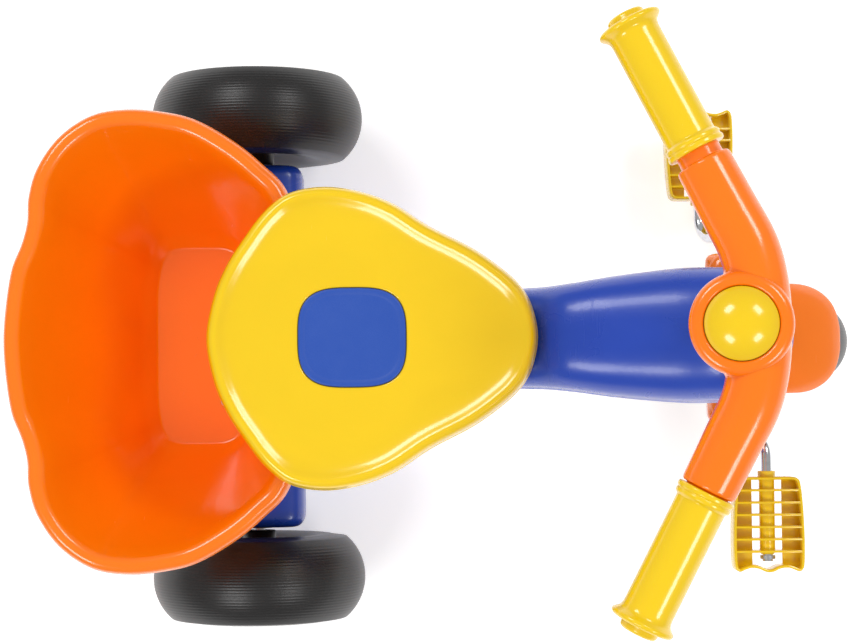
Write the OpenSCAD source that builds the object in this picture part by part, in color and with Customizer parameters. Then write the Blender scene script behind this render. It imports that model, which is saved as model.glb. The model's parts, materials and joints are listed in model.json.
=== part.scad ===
// Children's tricycle: moulded plastic frame, fork, handlebar, seat and basket on steel rods.
// Millimetres. +X runs forward, +Y to the rider's left, +Z up. The origin lies on the ground
// under the middle of the bounding box. Lengths below are worked out from the rear axle.

/* [Wheels] */
// Distance between the rear axle and the front axle
wheelbase = 418; // [390:1:520]
// Overall width across the rear wheels
track_w = 480; // [440:1:600]
// Diameter of a rear wheel
rear_wheel_d = 186; // [160:1:190]
// Width of a rear wheel
rear_wheel_w = 75; // [60:1:78]
// Diameter of the front wheel
front_wheel_d = 200; // [180:1:240]
// Width of the front wheel
front_wheel_w = 70; // [50:1:84]
// Radius of the tread across a wheel
tread_r = 46; // [43:1:60]
// Wall of the blow-moulded wheels
wheel_wall = 3.5; // [2.5:0.5:6]
// Diameter of the rear axle
rear_rod_d = 10; // [8:0.5:12]

/* [Steering] */
// Lean of the steering axis behind the vertical, in degrees
rake = 7.5; // [0:0.5:12]
// Length of the head tube
head_len = 110; // [90:1:130]
// Diameter of the steel steering stem
stem_d = 22; // [18:1:25]
// Distance from the front axle up the steering axis to the rim of the handlebar hub
hub_rim_h = 395; // [380:1:440]
// Diameter of the handlebar hub
hub_d = 73; // [68:1:90]
// Diameter of a handlebar arm
arm_d = 42; // [36:1:44]
// Sweep of the arms behind the crosswise line, in degrees
arm_sweep = 27; // [10:1:35]
// Sideways distance from the steering axis to the shoulder of an arm
arm_end_y = 116; // [105:1:140]
// Length of a grip between its end flanges
grip_len = 105; // [85:1:130]
// Diameter of a grip's body
grip_d = 37; // [34:0.5:40]
// Diameter of the horn button
button_d = 52; // [46:1:54]
// Travel of the horn button
button_travel = 6; // [3:0.5:7]

/* [Fork] */
// Inside width between the fork legs
fork_gap = 86; // [76:1:96]
// Thickness of a fork leg
leg_t = 27; // [22:1:30]
// Depth of a fork leg, front to back
leg_depth = 46; // [44:1:64]
// Gap between the front wheel and the mudguard
guard_gap = 8; // [6:1:14]
// Thickness of the mudguard
guard_wall = 4; // [3:0.5:6]
// Length of the mudguard ahead of the steering axis
guard_reach = 86; // [70:1:92]
// Height of the fork crown
crown_h = 22; // [18:1:30]

/* [Crank and pedals] */
// Diameter of the crank rod
crank_rod_d = 9.5; // [8:0.5:11]
// Length of a crank arm
crank_len = 50; // [40:1:56]
// Sideways distance from the middle of the rod to a crank arm
crank_arm_y = 88; // [86:1:96]
// Sideways play taken up to the left at rest
crank_shift = 7; // [0:0.5:8]
// Lean of the right crank arm ahead of the vertical at rest, in degrees
crank_lean = 25; // [0:1:60]
// Length of a pedal, not counting its collar
pedal_len = 81; // [70:1:98]
// Width of a pedal at its inner end
pedal_inner_w = 50; // [44:1:56]
// Width of a pedal near its outer end
pedal_outer_w = 58; // [50:1:62]
// Height of a pedal
pedal_h = 24; // [18:1:26]

/* [Frame] */
// Half-width of the beam under the seat's nose
beam_half_w = 40; // [32:1:46]
// Half-height of the beam
beam_half_h = 34; // [28:1:38]
// Half-width of the frame at the head tube
head_half_w = 53; // [46:1:56]
// Half-length of the axle housing
housing_half_len = 158; // [130:1:164]
// Depth of the axle housing, front to back
housing_depth = 76; // [60:1:80]
// Height of the axle housing
housing_h = 64; // [54:1:70]
// Wall of the blow-moulded frame
frame_wall = 2.5; // [2:0.5:4]

/* [Seat] */
// Height of the seat's rim above the ground
seat_h = 306; // [300:1:320]
// Distance from the rear axle forward to the seat's nose
seat_nose_x = 237; // [225:1:260]
// Distance from the rear axle back to the seat's rear edge
seat_rear_x = 26; // [20:1:40]
// Greatest width of the seat
seat_w = 241; // [210:1:260]
// Wall of the seat
seat_wall = 4; // [3:0.5:5]
// Depth of the seat's outer skirt
seat_skirt = 22; // [16:1:24]
// Length and width of the badge inlay
badge_l = 85; // [70:1:95]
badge_w = 78; // [64:1:86]

/* [Basket] */
// Distance from the rear axle back to the basket's rear edge
basket_rear_x = 188; // [170:1:226]
// Greatest width of the basket
basket_w = 373; // [330:1:400]
// Height of the rim above the ground at the back
rim_rear_h = 290; // [270:1:330]
// Height of the rim above the ground at the front
rim_front_h = 262; // [250:1:266]
// Wall of the basket
basket_wall = 3; // [2:0.5:4]
// Width of the rolled rim
rim_w = 17; // [12:1:22]

/* [Hidden] */
$fn = 48;

// Clearances
run_fit = 0.05;    // radial, a shaft turning in its bore
snug = 0.15;       // between pieces of one body that are pushed together
free_gap = 2;      // between pieces that move past each other

// Colours
c_orange = [1.0, 0.45, 0.02];
c_yellow = [0.98, 0.82, 0.08];
c_blue = [0.11, 0.27, 0.72];
c_black = [0.06, 0.06, 0.065];
c_steel = [0.75, 0.76, 0.78];
c_grey = [0.35, 0.35, 0.37];

// Heights and places that follow from the sizes above
rear_axle_z = rear_wheel_d / 2;
front_axle_z = front_wheel_d / 2;
mid_x = (wheelbase + front_wheel_d / 2 - basket_rear_x) / 2;
rear_rod_r = rear_rod_d / 2;
rod_r = crank_rod_d / 2;
stem_r = stem_d / 2;
guard_r = front_wheel_d / 2 + guard_gap;
crown_z = guard_r + guard_wall;
crown_top = crown_z + crown_h;
bush_flange_t = 3;
head_bottom = crown_top + bush_flange_t + free_gap;
head_top = head_bottom + head_len;
bush_r = stem_r + 4;
bush_flange_r = stem_r + 11;
bush_len = 20;
column_bottom = head_top + bush_flange_t + free_gap;
stem_bottom = crown_z + 2;
stem_top = hub_rim_h - 62;
arm_z = hub_rim_h - 24;
arm_cross_x = 34;
arm_bend_y = 45;
hub_r = hub_d / 2;
arm_r = arm_d / 2;
button_r = button_d / 2;
mouth_r = button_r + 0.4;
button_flange_r = button_r + 1.6;
pocket_r = button_flange_r + 0.6;
pocket_depth = 43;
mouth_lip = 7;
button_flange_t = 3;
neck_r = 16;
grip_gap_left = 8;
grip_gap_right = 1;
grip_core_r = 14;
bar_bolt_z = (column_bottom + stem_top) / 2;
fork_bolt_z = crown_z + crown_h / 2;
bolt_r = 3;
bolt_pocket_r = 7.5;
front_tread_r = 0.515 * front_wheel_w;
leg_y = fork_gap / 2;
leg_outer = leg_y + leg_t;
wheel_inner_y = track_w / 2 - rear_wheel_w;
axle_end_y = track_w / 2 - 9;
hub_neck_r = 14;
hub_recess_r = 30;
hub_recess_depth = 20;
rear_bush_r = rear_rod_r + 4;
housing_x = 3;
housing_z = rear_axle_z + 9;
housing_top = housing_z + housing_h / 2;
seat_under = seat_h - 13;
seat_post_x = 108;
badge_x = 90;
screw_r = 2.5;
screw_head_r = 5;
basket_front_x = 58;
basket_floor_z = housing_top + basket_wall;

// The value a share t of the way from a to b
function mix(a, b, t) = a + (b - a) * t;
// A vector of length 1
function unit(v) = v / norm(v);
function sgn_pow(v, e) = sign(v) * pow(abs(v), e);
// One point of a rounded rectangle with half-sizes a and b; p = 2 is an ellipse
function squircle(a, b, p, ang) = [a * sgn_pow(cos(ang), 2 / p), b * sgn_pow(sin(ang), 2 / p)];
// Smooth curve through the points of a list (Catmull-Rom), k steps between two points
function spline_at(a, b, c, d, t) =
    0.5 * (2 * b + (c - a) * t + (2 * a - 5 * b + 4 * c - d) * t * t
           + (3 * b - a - 3 * c + d) * t * t * t);
function open_spline(p, k) = let (n = len(p)) concat(
    [for (i = [0 : n - 2]) for (j = [0 : k - 1])
        spline_at(p[max(i - 1, 0)], p[i], p[i + 1], p[min(i + 2, n - 1)], j / k)],
    [p[n - 1]]);
function closed_spline(p, k) = let (n = len(p))
    [for (i = [0 : n - 1]) for (j = [0 : k - 1])
        spline_at(p[(i + n - 1) % n], p[i], p[(i + 1) % n], p[(i + 2) % n], j / k)];
// Half an outline from the front round the left side to the back, closed by its mirror image
function mirrored(half) = let (n = len(half))
    concat(half, [for (i = [n - 2 : -1 : 1]) [half[i][0], -half[i][1]]]);
// The outline moved inward by d along its normals
function inset(p, d) = let (n = len(p))
    [for (i = [0 : n - 1]) let (t = unit(p[(i + 1) % n] - p[(i + n - 1) % n]))
        p[i] + d * [-t[1], t[0]]];
function lift(p, z) = [for (q = p) [q[0], q[1], z]];
function middle(ring) = [for (k = [0 : 2]) (max([for (q = ring) q[k]]) + min([for (q = ring) q[k]])) / 2];

// A closed solid skinned over rings that all have the same number of points
module skin(rings) {
    n = len(rings[0]);
    m = len(rings);
    points = concat([for (r = rings) each r], [middle(rings[0]), middle(rings[m - 1])]);
    sides = [for (j = [0 : m - 2]) for (i = [0 : n - 1]) let (k = (i + 1) % n) each
        [[j * n + i, (j + 1) * n + i, (j + 1) * n + k], [j * n + i, (j + 1) * n + k, j * n + k]]];
    first = [for (i = [0 : n - 1]) [i, (i + 1) % n, m * n]];
    last = [for (i = [0 : n - 1]) [(m - 1) * n + (i + 1) % n, (m - 1) * n + i, m * n + 1]];
    polyhedron(points, concat(sides, first, last));
}

// Frames of reference
module at_ground() { translate([-mid_x, 0, 0]) children(); }
module at_head() {
    at_ground() translate([wheelbase, 0, front_axle_z]) rotate([0, -rake, 0]) children();
}
module at_front_axle() { at_ground() translate([wheelbase, 0, front_axle_z]) children(); }
module at_rear_axle() { at_ground() translate([0, 0, rear_axle_z]) children(); }
module along_y() { rotate([-90, 0, 0]) children(); }
module mirror_left(side) { if (side > 0) children(); else mirror([0, 1, 0]) children(); }
module both_sides() { children(); mirror([0, 1, 0]) children(); }

// A tube or disc from z0 to z1
module tube(r_out, r_in, z0, z1) {
    translate([0, 0, z0]) difference() {
        cylinder(r = r_out, h = z1 - z0);
        translate([0, 0, -1]) cylinder(r = r_in, h = z1 - z0 + 2);
    }
}

// ---------------------------------------------------------------- frame

// Stations of the beam: x, z, half-width, half-height, rise of the path in degrees
head_mid = (head_bottom + head_top) / 2;
head_x = wheelbase - head_mid * sin(rake);
head_z = front_axle_z + head_mid * cos(rake);
// A higher front axle makes the beam climb more steeply, so it keeps further below the seat's nose
nose_gap = 5 + 0.15 * (front_axle_z - 100);
head_half_h = head_len / 2 + 6;
head_nose = 34;
beam_path = open_spline([
    [30, housing_z + 8, beam_half_w + 16, beam_half_h - 4, 52],
    [68, housing_z + 56, beam_half_w + 8, beam_half_h - 2, 52],
    [104, housing_z + 108, beam_half_w + 2, beam_half_h, 42],
    [158, seat_under - beam_half_h - 12, beam_half_w, beam_half_h + 2, 10],
    [232, seat_h - seat_skirt - beam_half_h - nose_gap, beam_half_w, beam_half_h, 4],
    [300, head_z - 24, (beam_half_w + head_half_w) / 2 + 1, beam_half_h + 4, 10],
    [head_x - 46, head_z - 6, head_half_w - 2, head_half_h - 10, 0],
    [head_x, head_z, head_half_w, head_half_h, -4],
    [head_x + head_nose, head_z + 2, head_half_w, head_half_h, -rake]], 3);

// Side view of the beam: up along its lower edge, back along its upper edge
function beam_side(cut) = let (last = len(beam_path) - 1) concat(
    [for (i = [0 : last])
        let (s = beam_path[i], h = s[3] - cut, x = i == 0 ? cut : i == last ? -cut : 0)
        [s[0] + h * sin(s[4]) + x, s[1] - h * cos(s[4])]],
    [for (i = [last : -1 : 0])
        let (s = beam_path[i], h = s[3] - cut, x = i == 0 ? cut : i == last ? -cut : 0)
        [s[0] - h * sin(s[4]) + x, s[1] + h * cos(s[4])]]);

// Top view of the beam: straight behind, rounded round the head tube in front
function beam_plan(cut) = let (
    side = concat([[-20 + cut, beam_half_w + 16 - cut]],
                  [for (s = beam_path) if (s[0] < head_x + 1) [s[0], s[2] - cut]],
                  [for (a = [15 : 15 : 90])
                      [head_x + (head_nose - cut) * sin(a), (head_half_w - cut) * cos(a)]]))
    concat(side, [for (i = [len(side) - 2 : -1 : 0]) [side[i][0], -side[i][1]]]);

module beam_solid(cut) {
    intersection() {
        rotate([90, 0, 0]) linear_extrude(height = 3 * head_half_w, center = true) polygon(beam_side(cut));
        linear_extrude(height = 2 * seat_h) polygon(beam_plan(cut));
    }
}

// Crosswise housing of the rear axle
module housing_solid(cut) {
    translate([housing_x, 0, housing_z]) rotate([90, 0, 0])
        linear_extrude(height = 2 * (housing_half_len - cut), center = true)
            rounded_bar(housing_depth - 2 * cut, housing_h - 2 * cut, 12 - cut);
}

// Pad under the seat that takes the seat screws
module seat_post() {
    post_w = 84;
    post_l = 78;
    corner = 12;
    translate([seat_post_x, 0, seat_under - 60]) linear_extrude(height = 60) {
        square([post_l - 2 * corner, post_w], center = true);
        square([post_l, post_w - 2 * corner], center = true);
        for (x = [-1, 1]) for (y = [-1, 1])
            translate([x * (post_l / 2 - corner), y * (post_w / 2 - corner)]) circle(r = corner);
    }
}

module seat_screw_places() {
    for (x = [-20, 20]) for (y = [-22, 22])
        translate([badge_x + x, y, 0]) children();
}

module basket_screw_places() {
    for (y = [-48, -22, 22, 48]) translate([housing_x - 27, y, 0]) children();
}

module main_body() {
    color(c_blue) difference() {
        union() {
            at_ground() beam_solid(0);
            at_ground() housing_solid(0);
            at_ground() seat_post();
        }
        difference() {
            union() {
                at_ground() beam_solid(frame_wall);
                at_ground() housing_solid(frame_wall);
            }
            at_head() translate([0, 0, head_bottom - 20]) cylinder(r = bush_r + 4, h = head_len + 40);
            at_rear_axle() along_y()
                translate([0, 0, -track_w / 2]) cylinder(r = rear_bush_r + 3, h = track_w);
            at_ground() translate([0, 0, seat_under - 24]) seat_screw_places() cylinder(r = 8, h = 30);
            at_ground() translate([0, 0, housing_top - 20]) basket_screw_places() cylinder(r = 7, h = 30);
        }
        at_head() translate([0, 0, head_bottom - 40]) cylinder(r = stem_r + 1.5, h = head_len + 80);
        at_head() for (z = [head_bottom - 40, head_top - bush_len])
            translate([0, 0, z]) cylinder(r = bush_r, h = bush_len + 40);
        // Flat faces for the flanges of the head bushes
        at_head() translate([0, 0, head_top]) cylinder(r = 90, h = 40);
        at_head() translate([0, 0, head_bottom - 40]) cylinder(r = 90, h = 40);
        at_rear_axle() along_y()
            translate([0, 0, -track_w / 2]) cylinder(r = rear_rod_r + 1, h = track_w);
        at_rear_axle() both_sides() along_y()
            translate([0, 0, housing_half_len - bush_len]) cylinder(r = rear_bush_r, h = bush_len + 10);
        at_ground() translate([0, 0, seat_under - 18]) seat_screw_places() cylinder(r = screw_r, h = 30);
        at_ground() translate([0, 0, housing_top - 14]) basket_screw_places() cylinder(r = screw_r, h = 30);
    }
}

// Flanged plain bearing pressed into the head tube; dir is +1 for the upper one
module head_bush(z, dir) {
    color(c_grey) at_head() translate([0, 0, z]) mirror([0, 0, dir < 0 ? 1 : 0]) {
        tube(bush_r, stem_r + run_fit, -bush_len, 0);
        tube(bush_flange_r, stem_r + run_fit, 0, bush_flange_t);
    }
}

module rear_axle() {
    color(c_steel) at_rear_axle() along_y()
        translate([0, 0, -axle_end_y]) cylinder(r = rear_rod_r, h = 2 * axle_end_y);
}

module rear_axle_bushes() {
    color(c_grey) at_rear_axle() both_sides() along_y() {
        tube(rear_bush_r, rear_rod_r, housing_half_len - bush_len, housing_half_len);
        tube(rear_bush_r + 3, rear_rod_r, housing_half_len, housing_half_len + 1.5);
    }
}

module rear_axle_push_nuts() {
    color(c_steel) at_rear_axle() both_sides() along_y()
        tube(rear_rod_r + 5, rear_rod_r, axle_end_y - 5, axle_end_y - 1);
}

// ---------------------------------------------------------------- seat

// Plan of the seat from its nose to its rear edge
seat_plan = let (w = seat_w / 2, n = seat_nose_x, r = -seat_rear_x)
    closed_spline(mirrored([
        [n, 0], [n - 5, w * 0.21], [n - 15, w * 0.35], [n - 31, w * 0.47], [n - 53, w * 0.595],
        [n - 86, w * 0.735], [n - 113, w * 0.88], [n - 140, w * 0.966], [n - 169, w],
        [r + 66, w * 0.96], [r + 46, w * 0.835], [r + 29, w * 0.65], [r + 16, w * 0.48],
        [r + 6, w * 0.28], [r, 0]]), 3);

module seat() {
    pan_z = seat_h - 8;
    color(c_yellow) at_ground() difference() {
        skin([
            lift(inset(seat_plan, 24), seat_under),
            lift(inset(seat_plan, seat_wall + 6), seat_under + 1),
            lift(inset(seat_plan, seat_wall + 3), seat_under + 3),
            lift(inset(seat_plan, seat_wall - 1), seat_h - seat_skirt),
            lift(seat_plan, seat_h - seat_skirt),
            lift(inset(seat_plan, 2), seat_h - 6),
            lift(inset(seat_plan, 5), seat_h - 1),
            lift(inset(seat_plan, 8), seat_h),
            lift(inset(seat_plan, 12), seat_h - 2),
            lift(inset(seat_plan, 18), pan_z + 1),
            lift(inset(seat_plan, 24), pan_z)]);
        translate([badge_x, 0, pan_z - 3]) badge_plate(snug, 10);
        translate([0, 0, seat_under - 5]) seat_screw_places() cylinder(r = screw_r + 0.2, h = 30);
    }
}

module badge_plate(grow, h) {
    corner = 26;
    l = badge_l + 2 * grow;
    w = badge_w + 2 * grow;
    r = corner + grow;
    linear_extrude(height = h) {
        square([l - 2 * r, w], center = true);
        square([l, w - 2 * r], center = true);
        for (x = [-1, 1]) for (y = [-1, 1]) translate([x * (l / 2 - r), y * (w / 2 - r)]) circle(r = r);
    }
}

// Inlay that covers the seat screws; its underside is relieved over their heads
module seat_badge() {
    color(c_blue) at_ground() difference() {
        translate([badge_x, 0, seat_h - 11]) badge_plate(0, 3.6);
        translate([0, 0, seat_h - 12]) seat_screw_places() cylinder(r = screw_head_r + 1, h = 3.2);
    }
}

module pan_screw(shank, head_t) {
    translate([0, 0, -shank]) cylinder(r = screw_r - 0.05, h = shank);
    cylinder(r = screw_head_r, h = head_t);
}

module seat_screws() {
    color(c_steel) at_ground() translate([0, 0, seat_h - 11]) seat_screw_places() pan_screw(18, 2);
}

// ---------------------------------------------------------------- basket

basket_floor_front_x = 0;
basket_floor_rear_x = -90;
basket_floor_half_w = 91;

// Plan of the rim: front, side, then a corner lobe, a notch and the rear bulge
rim_plan = let (w = basket_w / 2, r = -basket_rear_x)
    closed_spline(mirrored([
        [basket_front_x, 0], [basket_front_x - 3, 60], [basket_front_x - 20, w * 0.635],
        [18, w * 0.76], [-6, w * 0.865], [-36, w * 0.956], [-63, w * 0.99], [-91, w],
        [r + 69.5, w * 0.973], [r + 44, w * 0.88], [r + 26.5, w * 0.745], [r + 19.5, w * 0.617],
        [r + 18.5, w * 0.51], [r + 14, w * 0.413], [r + 6.5, w * 0.31], [r + 2, w * 0.16], [r, 0]]), 2);
floor_plan = let (
    mid = (basket_floor_front_x + basket_floor_rear_x) / 2,
    half_l = (basket_floor_front_x - basket_floor_rear_x) / 2,
    rim_mid = (basket_front_x - basket_rear_x) / 2,
    rim_half_l = (basket_front_x + basket_rear_x) / 2)
    [for (p = rim_plan) [mid, 0] + squircle(half_l, basket_floor_half_w, 4,
        atan2(p[1] / (basket_w / 2), (p[0] - rim_mid) / rim_half_l))];

// Height of the rim over a point of the plan
function rim_z(x) = mix(rim_rear_h, rim_front_h, (x + basket_rear_x) / (basket_front_x + basket_rear_x));
function rim_ring(d, drop) = [for (q = inset(rim_plan, d)) [q[0], q[1], rim_z(q[0]) - drop]];
function wall_ring(t, d) = let (top = inset(rim_plan, rim_w - basket_wall), low = floor_plan)
    [for (i = [0 : len(top) - 1]) let (q = mix(low[i], top[i], t))
        [q[0], q[1], mix(basket_floor_z, rim_z(q[0]) - 6, t)]];
function wall_in(t) = let (ring = wall_ring(t, 0), flat = inset([for (q = ring) [q[0], q[1]]], basket_wall))
    [for (i = [0 : len(ring) - 1]) [flat[i][0], flat[i][1], ring[i][2]]];

module basket() {
    color(c_orange) at_ground() difference() {
        skin([
            lift(inset(floor_plan, 10), housing_top),
            lift(inset(floor_plan, 2), housing_top + 2),
            [for (q = wall_ring(0.06, 0)) q],
            [for (q = wall_ring(0.5, 0)) q],
            [for (q = wall_ring(1, 0)) [q[0], q[1], q[2] - 2]],
            rim_ring(basket_wall, 12),
            rim_ring(0, 12),
            rim_ring(1, 5),
            rim_ring(4, 1),
            rim_ring(8, 0),
            rim_ring(13, 1.5),
            [for (q = wall_in(0.97)) q],
            [for (q = wall_in(0.5)) q],
            [for (q = wall_in(0.1)) q],
            lift(inset(floor_plan, 8), basket_floor_z + 2),
            lift(inset(floor_plan, 16), basket_floor_z)]);
        translate([0, 0, housing_top - 5]) basket_screw_places() cylinder(r = screw_r + 0.2, h = 20);
    }
}

module basket_screws() {
    color(c_steel) at_ground() translate([0, 0, basket_floor_z]) basket_screw_places() pan_screw(15, 2.5);
}

// ---------------------------------------------------------------- fork

module rounded_bar(l, w, r) {
    square([l - 2 * r, w], center = true);
    square([l, w - 2 * r], center = true);
    for (x = [-1, 1]) for (y = [-1, 1]) translate([x * (l / 2 - r), y * (w / 2 - r)]) circle(r = r);
}

clamp_w = 30;
clamp_drop = 20;

// Mudguard: an arched strip round the wheel, narrowed to a rounded nose in front
module mudguard() {
    guard_half_w = leg_y + 4;
    nose_r = 34;
    intersection() {
        rotate([90, 0, 0]) rotate([0, 0, 12]) rotate_extrude(angle = 112, $fn = 96)
            translate([guard_r, -guard_half_w]) square([guard_wall, 2 * guard_half_w]);
        translate([0, 0, -10]) linear_extrude(height = 200) union() {
            translate([-60, -guard_half_w]) square([60 + guard_reach - nose_r, 2 * guard_half_w]);
            for (y = [-1, 1])
                translate([guard_reach - nose_r, y * (guard_half_w - nose_r)]) circle(r = nose_r);
            translate([0, -guard_half_w + nose_r]) square([guard_reach, 2 * (guard_half_w - nose_r)]);
        }
    }
}

module fork_leg() {
    intersection() {
        translate([0, leg_y, 0]) rotate([90, 0, 0]) mirror([0, 0, 1]) linear_extrude(height = leg_t) {
            circle(r = leg_depth / 2);
            translate([-leg_depth / 2, 0]) square([leg_depth, crown_top - 6]);
        }
        translate([0, leg_y + leg_t / 2, -leg_depth]) linear_extrude(height = 300)
            rounded_bar(leg_depth, leg_t, 11);
    }
}

module fork() {
    color(c_orange) at_head() difference() {
        union() {
            difference() {
                union() {
                    both_sides() fork_leg();
                    translate([0, 0, crown_z - 18]) linear_extrude(height = crown_h + 18)
                        rounded_bar(leg_depth, 2 * leg_outer, 14);
                }
                rotate([90, 0, 0]) cylinder(r = guard_r + 1, h = 2 * leg_y, center = true, $fn = 96);
            }
            mudguard();
        }
        along_y() translate([0, 0, -leg_outer - 5]) cylinder(r = rod_r + run_fit, h = 2 * leg_outer + 10);
        translate([-clamp_w / 2, -leg_outer - 5, -leg_depth]) cube([clamp_w, 2 * leg_outer + 10, leg_depth]);
        translate([0, 0, stem_bottom]) cylinder(r = stem_r, h = 60);
        translate([0, 0, fork_bolt_z]) rotate([0, 90, 0]) {
            cylinder(r = bolt_r + 0.1, h = leg_depth + 10, center = true);
            translate([0, 0, leg_depth / 2 - 7]) cylinder(r = bolt_pocket_r, h = 20);
            mirror([0, 0, 1]) translate([0, 0, leg_depth / 2 - 7]) cylinder(r = bolt_pocket_r, h = 20);
        }
        both_sides() clamp_screw_places() cylinder(r = screw_r, h = 14);
    }
}

module clamp_screw_places() {
    for (x = [-1, 1]) translate([x * 10, leg_y + leg_t / 2, 0]) children();
}

// Cap that closes the open lower half of the rod's bearing in a fork leg
module axle_clamp(side) {
    color(c_orange) at_head() mirror_left(side) difference() {
        translate([-clamp_w / 2 + snug, leg_y + 1, -clamp_drop])
            cube([clamp_w - 2 * snug, leg_t - 2, clamp_drop]);
        along_y() translate([0, 0, leg_y - 5]) cylinder(r = rod_r + run_fit, h = leg_t + 10);
        clamp_screw_places() translate([0, 0, -40]) cylinder(r = screw_r, h = 50);
        clamp_screw_places() translate([0, 0, -clamp_drop - 1]) cylinder(r = screw_head_r - 0.5, h = 4);
    }
}

module axle_clamp_screws() {
    color(c_steel) at_head() both_sides() clamp_screw_places() mirror([0, 0, 1]) {
        translate([0, 0, -12]) cylinder(r = screw_r - 0.05, h = clamp_drop + 9);
        translate([0, 0, clamp_drop - 3]) cylinder(r = screw_head_r - 0.6, h = 2.5);
    }
}

module steering_stem() {
    color(c_steel) at_head() difference() {
        tube(stem_r, stem_r - 1.5, stem_bottom, stem_top);
        translate([0, 0, fork_bolt_z]) rotate([0, 90, 0]) cylinder(r = bolt_r + 0.1, h = 80, center = true);
        translate([0, 0, bar_bolt_z]) rotate([90, 0, 0]) cylinder(r = bolt_r + 0.1, h = 80, center = true);
    }
}

bolt_head_t = 4;
nut_t = 5;
hex_r = 5.8;
// Bolt along Z with its head at +reach; its thread end stands out of the nut at -reach
module cross_bolt(reach) {
    translate([0, 0, -reach - nut_t - 1]) cylinder(r = bolt_r, h = 2 * reach + nut_t + 1);
    translate([0, 0, reach]) cylinder(r = hex_r, h = bolt_head_t, $fn = 6);
}
module cross_nut(reach) {
    translate([0, 0, -reach - nut_t]) difference() {
        cylinder(r = hex_r, h = nut_t, $fn = 6);
        translate([0, 0, -1]) cylinder(r = bolt_r, h = nut_t + 2);
    }
}

fork_bolt_reach = leg_depth / 2 - 7;
module fork_bolt() {
    color(c_steel) at_head() translate([0, 0, fork_bolt_z]) rotate([0, -90, 0]) cross_bolt(fork_bolt_reach);
}

// ---------------------------------------------------------------- handlebar

column_r = hub_r - 4;
column_wall = 3.5;
bar_bolt_reach = column_r - 6;
arm_end = [arm_cross_x - arm_end_y * tan(arm_sweep), arm_end_y];
arm_dir = [-sin(arm_sweep), cos(arm_sweep)];
arm_bend = [arm_cross_x - arm_bend_y * tan(arm_sweep), arm_bend_y];

// Places its children with +Z along an arm, starting at the arm's shoulder
module at_arm_end(side) {
    mirror_left(side) translate([arm_end[0], arm_end[1], arm_z])
        rotate([0, 0, arm_sweep]) along_y() children();
}

module arms(cut) {
    arm_len = norm(arm_end - arm_bend);
    for (side = [-1, 1]) {
        at_arm_end(side) translate([0, 0, -arm_len]) cylinder(r = arm_r - cut, h = arm_len - cut);
        translate([arm_bend[0], side * arm_bend[1], arm_z]) sphere(r = arm_r - cut);
    }
    translate([arm_bend[0], 0, arm_z]) along_y()
        translate([0, 0, -arm_bend[1]]) cylinder(r = arm_r - cut, h = 2 * arm_bend[1]);
}

// How far a grip stands off the shoulder of its arm
function grip_gap(side) = side > 0 ? grip_gap_left : grip_gap_right;

module handlebar() {
    color(c_orange) at_head() difference() {
        union() {
            difference() {
                arms(0);
                arms(frame_wall);
            }
            translate([0, 0, column_bottom])
                cylinder(r1 = column_r - 3, r2 = hub_r, h = arm_z - 20 - column_bottom);
            translate([0, 0, arm_z - 20]) cylinder(r = hub_r, h = hub_rim_h - arm_z + 20);
            for (side = [-1, 1]) at_arm_end(side) {
                translate([0, 0, -frame_wall]) cylinder(r = neck_r, h = frame_wall + grip_gap(side));
                cylinder(r = grip_core_r, h = grip_gap(side) + grip_len - 4);
            }
        }
        translate([0, 0, column_bottom - 1]) cylinder(r = stem_r, h = stem_top - column_bottom + 1);
        // The column is hollow round the socket of the stem and the sleeve of its bolt
        difference() {
            translate([0, 0, column_bottom - 1])
                cylinder(r1 = column_r - 3 - column_wall, r2 = hub_r - column_wall,
                         h = stem_top - column_bottom);
            translate([0, 0, column_bottom - 2]) cylinder(r = stem_r + 3, h = stem_top);
            translate([0, 0, bar_bolt_z]) rotate([90, 0, 0])
                cylinder(r = bolt_pocket_r + 2.5, h = 2 * hub_r, center = true);
        }
        translate([0, 0, hub_rim_h - pocket_depth]) cylinder(r = pocket_r, h = pocket_depth - mouth_lip);
        translate([0, 0, hub_rim_h - mouth_lip - 1]) cylinder(r = mouth_r, h = mouth_lip + 2);
        translate([0, 0, bar_bolt_z]) rotate([90, 0, 0]) {
            cylinder(r = bolt_r + 0.1, h = 2 * hub_r, center = true);
            translate([0, 0, bar_bolt_reach]) cylinder(r = bolt_pocket_r, h = 30);
            mirror([0, 0, 1]) translate([0, 0, bar_bolt_reach]) cylinder(r = bolt_pocket_r, h = 30);
        }
        for (side = [-1, 1]) at_arm_end(side)
            translate([0, 0, grip_gap(side)]) cylinder(r = grip_core_r - 3, h = grip_len);
    }
}

module handlebar_bolt() {
    color(c_steel) at_head() translate([0, 0, bar_bolt_z]) rotate([90, 0, 0]) cross_bolt(bar_bolt_reach);
}
module handlebar_nut() {
    color(c_steel) at_head() translate([0, 0, bar_bolt_z]) rotate([90, 0, 0]) cross_nut(bar_bolt_reach);
}
module fork_nut() {
    color(c_steel) at_head() translate([0, 0, fork_bolt_z]) rotate([0, -90, 0]) cross_nut(fork_bolt_reach);
}

grip_flange_r = 23.8;
// A grip, from its double inner bead to the plug at its outer end
module grip(side) {
    body_r = grip_d / 2;
    plug_r = 14;
    bead = 2.2;
    bead_reach = body_r + 3;
    color(c_yellow) at_head() at_arm_end(side) translate([0, 0, grip_gap(side)]) difference() {
        union() {
            cylinder(r = body_r, h = grip_len);
            for (z = [bead, 3.2 * bead]) translate([0, 0, z])
                rotate_extrude() translate([bead_reach - bead, 0]) circle(r = bead);
            translate([0, 0, grip_len - 3]) rotate_extrude() translate([grip_flange_r - 3, 0]) circle(r = 3);
            translate([0, 0, grip_len - 6]) cylinder(r = grip_flange_r - 3, h = 6);
            translate([0, 0, grip_len]) cylinder(r1 = plug_r, r2 = plug_r - 2, h = 7);
        }
        translate([0, 0, -1]) cylinder(r = grip_core_r, h = grip_len - 2);
    }
}

// ---------------------------------------------------------------- horn

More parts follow.
